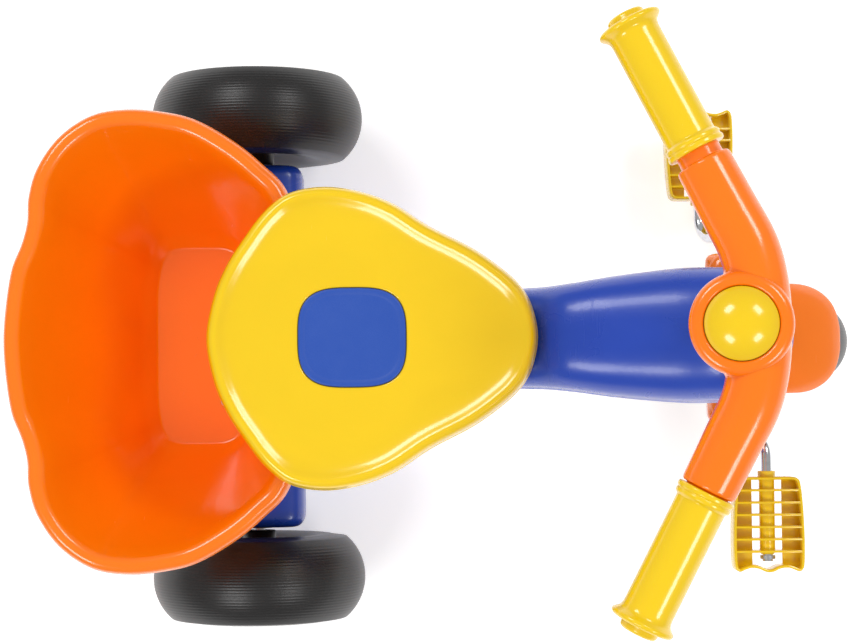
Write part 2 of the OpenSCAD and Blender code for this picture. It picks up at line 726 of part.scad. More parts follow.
button_seat = hub_rim_h - mouth_lip - 0.3;
module horn_button() {
    dome_rise = 12;
    dome_r = (button_r * button_r + dome_rise * dome_rise) / (2 * dome_rise);
    color(c_yellow) at_head() difference() {
        union() {
            translate([0, 0, button_seat - button_flange_t])
                cylinder(r = button_flange_r, h = button_flange_t);
            translate([0, 0, button_seat - 0.5]) cylinder(r = button_r, h = mouth_lip + 0.8);
            intersection() {
                translate([0, 0, hub_rim_h + dome_rise - dome_r]) sphere(r = dome_r, $fn = 96);
                translate([0, 0, hub_rim_h]) cylinder(r = button_r, h = dome_rise + 1);
            }
        }
        translate([0, 0, button_seat - button_flange_t - 1]) cylinder(r = button_r - 3, h = mouth_lip + 3);
    }
}

module horn_bellows() {
    bottom = hub_rim_h - pocket_depth;
    top = button_seat - button_flange_t - 0.3;
    folds = 4;
    pitch = (top - bottom) / folds;
    color(c_grey) at_head() for (i = [0 : folds - 1]) translate([0, 0, bottom + i * pitch]) {
        difference() {
            union() {
                cylinder(r1 = button_r - 6, r2 = button_r - 3, h = pitch / 2);
                translate([0, 0, pitch / 2]) cylinder(r1 = button_r - 3, r2 = button_r - 6, h = pitch / 2);
            }
            translate([0, 0, -1]) cylinder(r = button_r - 8, h = pitch + 2);
        }
    }
}

// ---------------------------------------------------------------- wheels

front_bore_r = 17;
// Half-section of a blow-moulded wheel, drawn with the axle along Y: r to the right, width up
module wheel_section(d, w, round_r, cut, bore_r) {
    intersection() {
        translate([d / 2 - round_r, 0]) circle(r = round_r - cut, $fn = 96);
        translate([bore_r, -w / 2 + cut]) square([d / 2, w - 2 * cut]);
    }
    translate([bore_r + cut, -w / 2 + cut]) square([d / 2 - round_r - bore_r - cut, w - 2 * cut]);
}

module front_wheel() {
    color(c_black) at_front_axle() rotate([90, 0, 0]) rotate_extrude($fn = 96) difference() {
        wheel_section(front_wheel_d, front_wheel_w, front_tread_r, 0, front_bore_r);
        wheel_section(front_wheel_d, front_wheel_w, front_tread_r, wheel_wall, front_bore_r);
        // Shallow dish for the hub disc on each side
        for (s = [-1, 1]) translate([front_bore_r - 1, s * front_wheel_w / 2 - 1.5]) square([17, 3]);
    }
}

drive_pin_r = 2;
// Flanged disc pushed into the wheel; a slot in its inner end takes the drive pin
module front_hub(side) {
    hub_flange_r = 32;
    color(c_yellow) at_front_axle() difference() {
        mirror_left(side) along_y() difference() {
            union() {
                translate([0, 0, front_wheel_w / 2 - 1.5]) cylinder(r = hub_flange_r, h = 4);
                translate([0, 0, 0.2]) cylinder(r = front_bore_r - snug, h = front_wheel_w / 2);
            }
            translate([0, 0, -1]) cylinder(r = rod_r + 0.02, h = front_wheel_w);
        }
        rotate([0, crank_lean, 0]) cube([2 * drive_pin_r + 0.2, 2 * drive_pin_r + 0.2, 24], center = true);
    }
}

// Bend radius beside the fork, and beside the pedal
fork_bend_r = 9.5;
pedal_bend_r = 20;
module rod_bend(r) {
    rotate_extrude(angle = 90) translate([r, 0]) circle(r = rod_r);
}

pedal_gap = 1;
push_nut_t = 3;
pedal_collar = 5;
// Where a pedal's collar begins, measured from the middle of the rod
pedal_start = crank_arm_y + pedal_bend_r + 11;
pedal_tube_end = pedal_start + pedal_collar + pedal_len - 15;
rod_end = pedal_tube_end + pedal_gap + push_nut_t + 2;

// Half of the crank rod towards +Y with its arm towards +Z
module crank_half() {
    along_y() cylinder(r = rod_r, h = crank_arm_y - fork_bend_r);
    translate([0, crank_arm_y - fork_bend_r, fork_bend_r])
        rotate([90, 0, 90]) rotate([0, 0, -90]) rod_bend(fork_bend_r);
    translate([0, crank_arm_y, fork_bend_r]) cylinder(r = rod_r, h = crank_len - fork_bend_r - pedal_bend_r);
    translate([0, crank_arm_y + pedal_bend_r, crank_len - pedal_bend_r])
        rotate([90, 0, 90]) rotate([0, 0, 90]) rod_bend(pedal_bend_r);
    translate([0, crank_arm_y + pedal_bend_r, crank_len]) along_y()
        cylinder(r = rod_r, h = rod_end - crank_arm_y - pedal_bend_r);
}

// Turned so that the right arm leans forward of straight up
module at_crank() { at_front_axle() translate([0, crank_shift, 0]) rotate([0, crank_lean, 0]) children(); }

module crank_rod() {
    color(c_steel) at_crank() difference() {
        union() {
            mirror([0, 1, 0]) crank_half();
            mirror([0, 0, 1]) crank_half();
        }
        translate([0, -crank_shift, 0]) cylinder(r = drive_pin_r, h = 40, center = true);
    }
}

module crank_drive_pin() {
    color(c_steel) at_crank() translate([0, -crank_shift, 0])
        cylinder(r = drive_pin_r, h = 22, center = true);
}

module at_spindle(side) {
    at_crank() mirror([0, side < 0 ? 1 : 0, 0])
        translate([0, 0, side < 0 ? crank_len : -crank_len]) children();
}

module pedal_push_nuts() {
    color(c_steel) for (side = [-1, 1]) at_spindle(side) along_y()
        tube(rod_r + 2, rod_r, pedal_tube_end + pedal_gap, pedal_tube_end + pedal_gap + push_nut_t);
}

// Half-width of a pedal at a share t of its length
function pedal_half(t) = mix(pedal_inner_w, pedal_outer_w, sin(90 * min(1, 1.15 * t))) / 2;
pedal_steps = 8;
// Outline of a pedal: bowed sides and three lobes along the outer edge
function pedal_outline(cut) = let (
    left = [for (i = [0 : pedal_steps]) let (t = i / pedal_steps, round_in = i == 0 ? 5 : 0)
        [-(pedal_half(t) - cut - round_in), cut + t * (pedal_len - 8 - 2 * cut)]],
    outer = [for (i = [0 : 12]) let (u = i / 12, x = mix(-1, 1, u) * (pedal_outer_w / 2 - cut - 3))
        [x, pedal_len - cut - 3 + 3 * cos(360 * 1.5 * (u - 0.5) * 1.333)]],
    right = [for (i = [pedal_steps : -1 : 0]) [-left[i][0], left[i][1]]])
    concat(left, outer, right);

// One moulding: rim wall, cross ribs, floor strips and the tube that turns on the rod
module pedal(side) {
    wall = 2.6;
    tube_r = rod_r + 1.9;
    ribs = 7;
    color(c_yellow) at_pedal(side) difference() {
        union() {
            translate([0, pedal_start + pedal_collar, -pedal_h / 2]) {
                linear_extrude(height = pedal_h) difference() {
                    polygon(pedal_outline(0));
                    polygon(pedal_outline(wall));
                }
                linear_extrude(height = pedal_h) intersection() {
                    polygon(pedal_outline(1));
                    for (i = [1 : ribs - 1])
                        translate([-40, i * (pedal_len - 8) / ribs]) square([80, 1.8]);
                }
                // Floor strips beside the two columns of windows
                translate([0, 0, pedal_h / 2 - 3]) linear_extrude(height = 2.5) difference() {
                    polygon(pedal_outline(1));
                    translate([-tube_r - 6.5, 5]) square([2 * tube_r + 13, pedal_len - 13]);
                }
            }
            along_y() translate([0, 0, pedal_start]) cylinder(r = tube_r + 0.8, h = pedal_collar + 1);
            along_y() translate([0, 0, pedal_start + 1])
                cylinder(r = tube_r, h = pedal_tube_end - pedal_start - 1);
        }
        along_y() translate([0, 0, pedal_start - 1])
            cylinder(r = rod_r + run_fit, h = pedal_tube_end - pedal_start + 2);
        // Clear space round the push nut
        translate([-tube_r - 4, pedal_tube_end, -pedal_h]) cube([2 * tube_r + 8, 7.5, 2 * pedal_h]);
    }
}

// A pedal lies level at rest, whatever the crank's angle
module at_pedal(side) {
    at_front_axle() translate([0, crank_shift, 0])
        translate(crank_len * [side < 0 ? sin(crank_lean) : -sin(crank_lean), 0,
                               side < 0 ? cos(crank_lean) : -cos(crank_lean)])
        mirror([0, side < 0 ? 1 : 0, 0]) children();
}

// The outer face is dished for the cap, and a neck runs inward to the frame
module rear_wheel(side) {
    neck_start = housing_half_len + 1.5 + free_gap;
    mid_y = track_w / 2 - rear_wheel_w / 2;
    color(c_black) at_rear_axle() mirror_left(side) rotate([90, 0, 0]) mirror([0, 0, 1])
        rotate_extrude($fn = 96) difference() {
            union() {
                translate([0, mid_y]) wheel_section(rear_wheel_d, rear_wheel_w, tread_r, 0, rear_bush_r);
                translate([rear_bush_r, neck_start]) square([hub_neck_r - rear_bush_r, 20]);
            }
            difference() {
                translate([0, mid_y])
                    wheel_section(rear_wheel_d, rear_wheel_w, tread_r, wheel_wall, rear_bush_r);
                translate([0, track_w / 2 - hub_recess_depth - wheel_wall])
                    square([hub_recess_r + wheel_wall, hub_recess_depth + wheel_wall]);
            }
            translate([rear_bush_r - 1, track_w / 2 - hub_recess_depth])
                square([hub_recess_r - rear_bush_r + 1, hub_recess_depth + 1]);
        }
}

module rear_bush(side) {
    start = housing_half_len + 1.5 + free_gap;
    end = track_w / 2 - hub_recess_depth;
    color(c_grey) at_rear_axle() mirror_left(side) along_y() {
        tube(rear_bush_r, rear_rod_r + run_fit, start, end);
        tube(rear_bush_r + 4, rear_rod_r + run_fit, end, end + 2);
    }
}

module rear_hub_cap(side) {
    color(c_yellow) at_rear_axle() mirror_left(side) along_y() difference() {
        union() {
            translate([0, 0, track_w / 2 - 8]) cylinder(r = hub_recess_r - snug, h = 6);
            translate([0, 0, track_w / 2 - 2]) cylinder(r1 = hub_recess_r - snug, r2 = 20, h = 2);
        }
        translate([0, 0, track_w / 2 - 9]) cylinder(r = hub_recess_r - 4, h = 5);
    }
}

main_body();
head_bush(head_top, 1);  // head_bush_upper
head_bush(head_bottom, -1);  // head_bush_lower
rear_axle();
rear_axle_bushes();
rear_axle_push_nuts();
seat();
seat_badge();
seat_screws();
basket();
basket_screws();
fork();
handlebar();
steering_stem();
handlebar_bolt();
handlebar_nut();
fork_bolt();
fork_nut();
grip(1);  // grip_left
grip(-1);  // grip_right
horn_button();
horn_bellows();
axle_clamp(1);  // axle_clamp_left
axle_clamp(-1);  // axle_clamp_right
axle_clamp_screws();
front_wheel();
front_hub(1);  // front_hub_left
front_hub(-1);  // front_hub_right
crank_rod();
crank_drive_pin();
pedal_push_nuts();
pedal(1);  // pedal_left
pedal(-1);  // pedal_right
rear_wheel(1);  // rear_wheel_left
rear_wheel(-1);  // rear_wheel_right
rear_bush(1);  // rear_bush_left
rear_bush(-1);  // rear_bush_right
rear_hub_cap(1);  // rear_hub_cap_left
rear_hub_cap(-1);  // rear_hub_cap_right
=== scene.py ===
"""Children's tricycle: blow-moulded frame, fork and handlebar, moulded seat and basket,
blow-moulded wheels, a bent crank rod with pedals. Sizes are in metres, in the frame of
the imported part; helpers marked mm take millimetres. Places are read from that frame."""

import json
import math

import bmesh
import bpy
import numpy as np
from mathutils import Matrix, Vector


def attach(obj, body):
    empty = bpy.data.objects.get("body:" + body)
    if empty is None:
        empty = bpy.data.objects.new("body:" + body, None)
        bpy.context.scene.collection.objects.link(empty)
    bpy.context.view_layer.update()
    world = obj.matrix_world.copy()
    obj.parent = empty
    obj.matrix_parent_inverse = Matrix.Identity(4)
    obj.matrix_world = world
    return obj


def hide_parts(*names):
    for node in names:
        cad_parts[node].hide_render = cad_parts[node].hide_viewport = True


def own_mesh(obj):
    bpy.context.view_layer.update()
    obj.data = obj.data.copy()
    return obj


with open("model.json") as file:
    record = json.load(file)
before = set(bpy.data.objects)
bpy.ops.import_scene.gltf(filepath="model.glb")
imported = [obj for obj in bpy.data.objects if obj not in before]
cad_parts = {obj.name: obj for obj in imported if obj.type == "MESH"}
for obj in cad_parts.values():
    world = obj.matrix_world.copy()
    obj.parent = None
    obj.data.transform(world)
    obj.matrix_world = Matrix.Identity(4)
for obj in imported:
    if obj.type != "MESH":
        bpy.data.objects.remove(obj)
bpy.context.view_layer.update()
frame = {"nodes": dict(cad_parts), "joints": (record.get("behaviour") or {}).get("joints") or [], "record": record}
MM = 0.001

# ------------------------------------------------------------------ camera

CAMERA_PLACE = Vector((-0.0175, -0.0607, 1.900))
CAMERA_TILT = math.radians(2.61)
CAMERA_ROLL = math.radians(0.52)
LENS_MM = 86.4


def make_camera():
    """Looks almost straight down from above the seat."""
    forward = Vector((0, math.sin(CAMERA_TILT), -math.cos(CAMERA_TILT))).normalized()
    up = Vector((math.sin(CAMERA_ROLL), math.cos(CAMERA_ROLL), 0))
    right = forward.cross(up).normalized()
    up = right.cross(forward)
    data = bpy.data.cameras.new("studio_camera")
    data.lens = LENS_MM
    data.sensor_width = 36.0
    camera = bpy.data.objects.new("studio_camera", data)
    turn = Matrix((right, up, -forward)).transposed().to_4x4()
    camera.matrix_world = Matrix.Translation(CAMERA_PLACE) @ turn
    bpy.context.scene.collection.objects.link(camera)
    bpy.context.scene.camera = camera


make_camera()

# ------------------------------------------------------------------ places from the frame

joints = {j["name"]: j for j in frame["joints"]}


def joint_place(name):
    return Vector(joints[name]["pos_m"])


FRONT_AXLE = joint_place("front_wheel_turn")
REAR_AXLE = Vector((joint_place("left_wheel_turn").x, 0, joint_place("left_wheel_turn").z))
STEER_AXIS = Vector(joints["steering_turn"]["axis"]).normalized()
RAKE = math.atan2(-STEER_AXIS.x, STEER_AXIS.z)
# The head frame: its Z runs up the steering axis from the front axle
HEAD = Matrix.Translation(joint_place("steering_turn")) @ Matrix.Rotation(-RAKE, 4, "Y")


def span(node, place=Matrix.Identity(4)):
    """Lowest and highest corner, in mm, of a CAD node seen in another frame."""
    inverse = place.inverted()
    points = np.array([(inverse @ v.co)[:] for v in frame["nodes"][node].data.vertices])
    return points.min(0) / MM, points.max(0) / MM


# ------------------------------------------------------------------ curves and rings (mm)


def catmull(a, b, c, d, t):
    return 0.5 * (2 * b + (c - a) * t + (2 * a - 5 * b + 4 * c - d) * t * t + (3 * b - a - 3 * c + d) * t**3)


def open_spline(points, steps):
    """Smooth curve through the points, with that many steps between two of them."""
    p = [np.array(q, float) for q in points]
    last = len(p) - 1
    out = [
        catmull(p[max(i - 1, 0)], p[i], p[i + 1], p[min(i + 2, last)], j / steps)
        for i in range(last)
        for j in range(steps)
    ]
    return np.array(out + [p[last]])


def closed_spline(points, steps):
    p = [np.array(q, float) for q in points]
    n = len(p)
    return np.array(
        [
            catmull(p[i - 1], p[i], p[(i + 1) % n], p[(i + 2) % n], j / steps)
            for i in range(n)
            for j in range(steps)
        ]
    )


def mirrored(half):
    """A half outline from the middle line round the left side, closed by its mirror image."""
    return list(half) + [(x, -y) for x, y in half[-2:0:-1]]


def inset(outline, distance):
    """The closed outline moved inward along its normals."""
    tangent = np.roll(outline, -1, 0) - np.roll(outline, 1, 0)
    tangent /= np.linalg.norm(tangent, axis=1)[:, None]
    return outline + distance * np.stack([-tangent[:, 1], tangent[:, 0]], 1)


def lift(outline, z):
    """Gives a flat outline a height, which is a number or one number per point."""
    return np.column_stack([outline, np.broadcast_to(z, len(outline))])


def signed_power(v, e):
    return np.sign(v) * np.abs(v) ** e


def squircle(a, b, p, angle):
    """Points of a rounded rectangle with half-sizes a and b; p = 2 is an ellipse."""
    return np.stack([a * signed_power(np.cos(angle), 2 / p), b * signed_power(np.sin(angle), 2 / p)], -1)


def smooth_step(t):
    t = np.clip(t, 0, 1)
    return t * t * (3 - 2 * t)


# ------------------------------------------------------------------ meshes


def new_object(name, verts, faces):
    """An object from vertices in mm and faces, with its normals made consistent."""
    mesh = bpy.data.meshes.new(name)
    mesh.from_pydata([tuple(v) for v in np.asarray(verts, float) * MM], [], faces)
    bm = bmesh.new()
    bm.from_mesh(mesh)
    bmesh.ops.remove_doubles(bm, verts=bm.verts, dist=1e-6)
    bmesh.ops.recalc_face_normals(bm, faces=bm.faces)
    bm.to_mesh(mesh)
    bm.free()
    made = bpy.data.objects.new(name, mesh)
    bpy.context.scene.collection.objects.link(made)
    return made


def ring_faces(count, n, wrap=True):
    """Quads between rings of n points; wrap closes each ring."""
    edge = n if wrap else n - 1
    return [
        (j * n + i, j * n + (i + 1) % n, (j + 1) * n + (i + 1) % n, (j + 1) * n + i)
        for j in range(count - 1)
        for i in range(edge)
    ]


def skin(name, rings, cap_first=True, cap_last=True):
    """A surface over rings of points that all have the same number of points."""
    n = len(rings[0])
    verts = np.concatenate(rings)
    faces = ring_faces(len(rings), n)
    for ring, wanted, base in ((rings[0], cap_first, 0), (rings[-1], cap_last, (len(rings) - 1) * n)):
        if wanted:
            verts = np.vstack([verts, np.mean(ring, 0)])
            hub = len(verts) - 1
            faces += [(base + i, base + (i + 1) % n, hub) for i in range(n)]
    return new_object(name, verts, faces)


def turned(name, profile, place, segments=96):
    """A profile of (radius, height) in mm turned about Z and put in place."""
    angle = np.linspace(0, 2 * math.pi, segments, endpoint=False)
    rings = [np.column_stack([r * np.cos(angle), r * np.sin(angle), np.full(segments, h)])
             for r, h in profile]
    made = new_object(name, np.concatenate(rings), ring_faces(len(rings), segments))
    made.data.transform(Matrix.Translation(place.translation) @ place.to_3x3().normalized().to_4x4())
    return made


def rounded(points, radius, steps=5):
    """An open polyline with its inner corners rounded; radius is one number or one per corner."""
    p = [np.array(q, float) for q in points]
    radii = [radius] * (len(p) - 2) if np.isscalar(radius) else list(radius)
    out = [p[0]]
    for i, r in enumerate(radii, 1):
        back, ahead = p[i - 1] - p[i], p[i + 1] - p[i]
        reach = min(r, 0.49 * np.linalg.norm(back), 0.49 * np.linalg.norm(ahead))
        a = p[i] + back / np.linalg.norm(back) * reach
        b = p[i] + ahead / np.linalg.norm(ahead) * reach
        for t in np.linspace(0, 1, steps):
            out.append((1 - t) ** 2 * a + 2 * t * (1 - t) * p[i] + t * t * b)
    return np.array(out + [p[-1]])


def tube_along(name, path, radius, sides=32, capped=True):
    """A round tube along a path in mm; radius is one number or one per point."""
    path = np.asarray(path, float)
    radii = np.broadcast_to(radius, len(path))
    tangent = np.gradient(path, axis=0)
    tangent /= np.linalg.norm(tangent, axis=1)[:, None]
    side = np.cross(tangent[0], [0.31, 0.17, 0.93])
    side /= np.linalg.norm(side)
    rings = []
    angle = np.linspace(0, 2 * math.pi, sides, endpoint=False)
    for p, t, r in zip(path, tangent, radii):
        side = side - t * np.dot(side, t)
        side /= np.linalg.norm(side)
        other = np.cross(t, side)
        rings.append(p + r * (np.cos(angle)[:, None] * side + np.sin(angle)[:, None] * other))
    return skin(name, rings, capped, capped)


def box_piece(name, low, high):
    """A block between two corners, in mm."""
    (x0, y0, z0), (x1, y1, z1) = low, high
    corners = [(x, y, z) for z in (z0, z1) for y in (y0, y1) for x in (x0, x1)]
    faces = [(0, 1, 3, 2), (4, 6, 7, 5), (0, 4, 5, 1), (2, 3, 7, 6), (0, 2, 6, 4), (1, 5, 7, 3)]
    return new_object(name, corners, faces)


def settle(obj):
    """Applies the object's modifiers to its mesh."""
    graph = bpy.context.evaluated_depsgraph_get()
    mesh = bpy.data.meshes.new_from_object(obj.evaluated_get(graph))
    obj.modifiers.clear()
    old = obj.data
    obj.data = mesh
    bpy.data.meshes.remove(old)
    return obj


def join(name, pieces):
    """One object from several that share a frame."""
    bm = bmesh.new()
    for piece in pieces:
        piece.data.transform(piece.matrix_world)
        bm.from_mesh(piece.data)
        bpy.data.objects.remove(piece)
    mesh = bpy.data.meshes.new(name)
    bm.to_mesh(mesh)
    bm.free()
    made = bpy.data.objects.new(name, mesh)
    bpy.context.scene.collection.objects.link(made)
    return made


def blow_moulded(name, pieces, voxel, smoothing, place=Matrix.Identity(4), bores=()):
    """Melts overlapping closed pieces into one soft-edged hollow moulding.
    bores are cylinders, (place, radius, low, high) in mm, cut through it afterwards."""
    made = join(name, pieces)
    remesh = made.modifiers.new("melt", "REMESH")
    remesh.mode = "VOXEL"
    remesh.voxel_size = voxel * MM
    soften = made.modifiers.new("soften", "SMOOTH")
    soften.factor = 0.5
    soften.iterations = smoothing
    settle(made)
    made.data.transform(place)
    for bore_place, radius, low, high in bores:
        cutter = turned("cutter", [(0.01, low), (radius, low), (radius, high), (0.01, high)], bore_place, 64)
        cut = made.modifiers.new("bore", "BOOLEAN")
        cut.operation = "DIFFERENCE"
        cut.object = cutter
        cut.solver = "FAST"
        settle(made)
        bpy.data.objects.remove(cutter)
    return made


def shade(obj, angle=None):
    """Smooth shading, with edges sharper than the angle (degrees) kept crisp."""
    for polygon in obj.data.polygons:
        polygon.use_smooth = True
    if angle is not None:
        obj.data.set_sharp_from_angle(angle=math.radians(angle))


def subdivide(obj, levels=1):
    smooth = obj.modifiers.new("smooth", "SUBSURF")
    smooth.levels = levels
    smooth.render_levels = levels
    return settle(obj)


def soften_edges(name, node, width, segments=2, limit=35):
    """A copy of a CAD node with its sharp edges broken by a small bevel (mm)."""
    made = bpy.data.objects.new(name, frame["nodes"][node].data.copy())
    bpy.context.scene.collection.objects.link(made)
    bm = bmesh.new()
    bm.from_mesh(made.data)
    bmesh.ops.remove_doubles(bm, verts=bm.verts, dist=2e-6)
    bmesh.ops.dissolve_limit(
        bm, angle_limit=math.radians(1), verts=bm.verts, edges=bm.edges, delimit={"NORMAL"}
    )
    bm.to_mesh(made.data)
    bm.free()
    bevel = made.modifiers.new("edges", "BEVEL")
    bevel.width = width * MM
    bevel.segments = segments
    bevel.limit_method = "ANGLE"
    bevel.angle_limit = math.radians(limit)
    bevel.use_clamp_overlap = True
    settle(made)
    shade(made, 40)
    return made


def finish_piece(obj, body, material, replaces=()):
    """Rides the piece on its body and gives it its material."""
    obj.data.materials.clear()
    obj.data.materials.append(material)
    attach(obj, body)
    if replaces:
        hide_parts(*replaces)
    return obj


# ------------------------------------------------------------------ shader groups


def socket(group, name, kind, way="INPUT", default=None):
    made = group.interface.new_socket(name=name, in_out=way, socket_type=kind)
    if default is not None:
        made.default_value = default
    return made


def moulded_skin_group():
    """Moulded plastic: faint swirls in the pigment, orange-peel gloss, handling scuffs on edges."""
    group = bpy.data.node_groups.new("moulded_skin", "ShaderNodeTree")
    socket(group, "Color", "NodeSocketColor", default=(0.8, 0.8, 0.8, 1))
    socket(group, "Swirl", "NodeSocketFloat", default=0.06)
    socket(group, "Gloss", "NodeSocketFloat", default=0.16)
    socket(group, "Scuff", "NodeSocketFloat", default=0.25)
    socket(group, "Peel", "NodeSocketFloat", default=0.12)
    socket(group, "Peel Scale", "NodeSocketFloat", default=220.0)
    socket(group, "Color", "NodeSocketColor", "OUTPUT")
    socket(group, "Roughness", "NodeSocketFloat", "OUTPUT")
    socket(group, "Normal", "NodeSocketVector", "OUTPUT")
    n, link = group.nodes, group.links.new
    given = n.new("NodeGroupInput")
    out = n.new("NodeGroupOutput")
    place = n.new("ShaderNodeTexCoord")
    # Pigment swirls, stretched a little along the flow of the melt
    stretch = n.new("ShaderNodeMapping")
    stretch.inputs["Scale"].default_value = (6.0, 9.0, 11.0)
    link(place.outputs["Object"], stretch.inputs["Vector"])
    swirl = n.new("ShaderNodeTexNoise")
    swirl.inputs["Scale"].default_value = 1.6
    swirl.inputs["Detail"].default_value = 5.0
    swirl.inputs["Distortion"].default_value = 1.2
    link(stretch.outputs["Vector"], swirl.inputs["Vector"])
    centred = n.new("ShaderNodeMath")
    centred.operation = "SUBTRACT"
    centred.inputs[1].default_value = 0.5
    link(swirl.outputs["Fac"], centred.inputs[0])
    depth = n.new("ShaderNodeMath")
    depth.operation = "MULTIPLY_ADD"
    depth.inputs[2].default_value = 1.0
    link(centred.outputs[0], depth.inputs[0])
    link(given.outputs["Swirl"], depth.inputs[1])
    tint = n.new("ShaderNodeHueSaturation")
    link(given.outputs["Color"], tint.inputs["Color"])
    link(depth.outputs[0], tint.inputs["Value"])
    # Scuffs gather where fingers, shoes and the ground reach: on convex edges, in patches
    shape = n.new("ShaderNodeNewGeometry")
    edge = n.new("ShaderNodeMapRange")
    edge.inputs["From Min"].default_value = 0.53
    edge.inputs["From Max"].default_value = 0.66
    link(shape.outputs["Pointiness"], edge.inputs["Value"])
    patch = n.new("ShaderNodeTexNoise")
    patch.inputs["Scale"].default_value = 38.0
    patch.inputs["Detail"].default_value = 8.0
    patch.inputs["Roughness"].default_value = 0.65
    link(place.outputs["Object"], patch.inputs["Vector"])
    patch_mask = n.new("ShaderNodeMapRange")
    patch_mask.inputs["From Min"].default_value = 0.5
    patch_mask.inputs["From Max"].default_value = 0.72
    link(patch.outputs["Fac"], patch_mask.inputs["Value"])
    worn = n.new("ShaderNodeMath")
    worn.operation = "MULTIPLY"
    link(edge.outputs["Result"], worn.inputs[0])
    link(patch_mask.outputs["Result"], worn.inputs[1])
    wear = n.new("ShaderNodeMath")
    wear.operation = "MULTIPLY"
    link(worn.outputs[0], wear.inputs[0])
    link(given.outputs["Scuff"], wear.inputs[1])
    paler = n.new("ShaderNodeMix")
    paler.data_type = "RGBA"
    paler.inputs["B"].default_value = (0.85, 0.83, 0.8, 1)
    link(wear.outputs[0], paler.inputs["Factor"])
    link(tint.outputs["Color"], paler.inputs["A"])
    link(paler.outputs["Result"], out.inputs["Color"])
    # Gloss: fine hairline scratches and smears raise the roughness
    hair_place = n.new("ShaderNodeMapping")
    hair_place.inputs["Scale"].default_value = (420.0, 30.0, 60.0)
    hair_place.inputs["Rotation"].default_value = (0.3, 0.5, 0.9)
    link(place.outputs["Object"], hair_place.inputs["Vector"])
    hair = n.new("ShaderNodeTexNoise")
    hair.inputs["Scale"].default_value = 1.0
    hair.inputs["Detail"].default_value = 3.0
    link(hair_place.outputs["Vector"], hair.inputs["Vector"])
    hair_mask = n.new("ShaderNodeMapRange")
    hair_mask.inputs["From Min"].default_value = 0.62
    hair_mask.inputs["From Max"].default_value = 0.8
    hair_mask.inputs["To Max"].default_value = 0.12
    link(hair.outputs["Fac"], hair_mask.inputs["Value"])
    smear = n.new("ShaderNodeMapRange")
    smear.inputs["To Min"].default_value = -0.03
    smear.inputs["To Max"].default_value = 0.06
    link(swirl.outputs["Fac"], smear.inputs["Value"])
    rough = n.new("ShaderNodeMath")
    link(given.outputs["Gloss"], rough.inputs[0])
    link(hair_mask.outputs["Result"], rough.inputs[1])
    rougher = n.new("ShaderNodeMath")
    link(rough.outputs[0], rougher.inputs[0])
    link(smear.outputs["Result"], rougher.inputs[1])
    roughest = n.new("ShaderNodeMath")
    roughest.operation = "MULTIPLY_ADD"
    roughest.inputs[1].default_value = 0.4
    roughest.use_clamp = True
    link(wear.outputs[0], roughest.inputs[0])
    link(rougher.outputs[0], roughest.inputs[2])
    link(roughest.outputs[0], out.inputs["Roughness"])
    # Orange peel and the slow waviness of a thin moulded wall
    peel = n.new("ShaderNodeTexNoise")
    peel.inputs["Detail"].default_value = 2.0
    link(place.outputs["Object"], peel.inputs["Vector"])
    link(given.outputs["Peel Scale"], peel.inputs["Scale"])
    wavy = n.new("ShaderNodeTexNoise")
    wavy.inputs["Scale"].default_value = 14.0
    wavy.inputs["Detail"].default_value = 1.0
    link(place.outputs["Object"], wavy.inputs["Vector"])
    heights = n.new("ShaderNodeMath")
    heights.operation = "MULTIPLY_ADD"
    heights.inputs[1].default_value = 6.0
    link(wavy.outputs["Fac"], heights.inputs[0])
    link(peel.outputs["Fac"], heights.inputs[2])
    bump = n.new("ShaderNodeBump")
    bump.inputs["Distance"].default_value = 0.0004
    link(given.outputs["Peel"], bump.inputs["Strength"])
    link(heights.outputs[0], bump.inputs["Height"])
    link(bump.outputs["Normal"], out.inputs["Normal"])
    return group


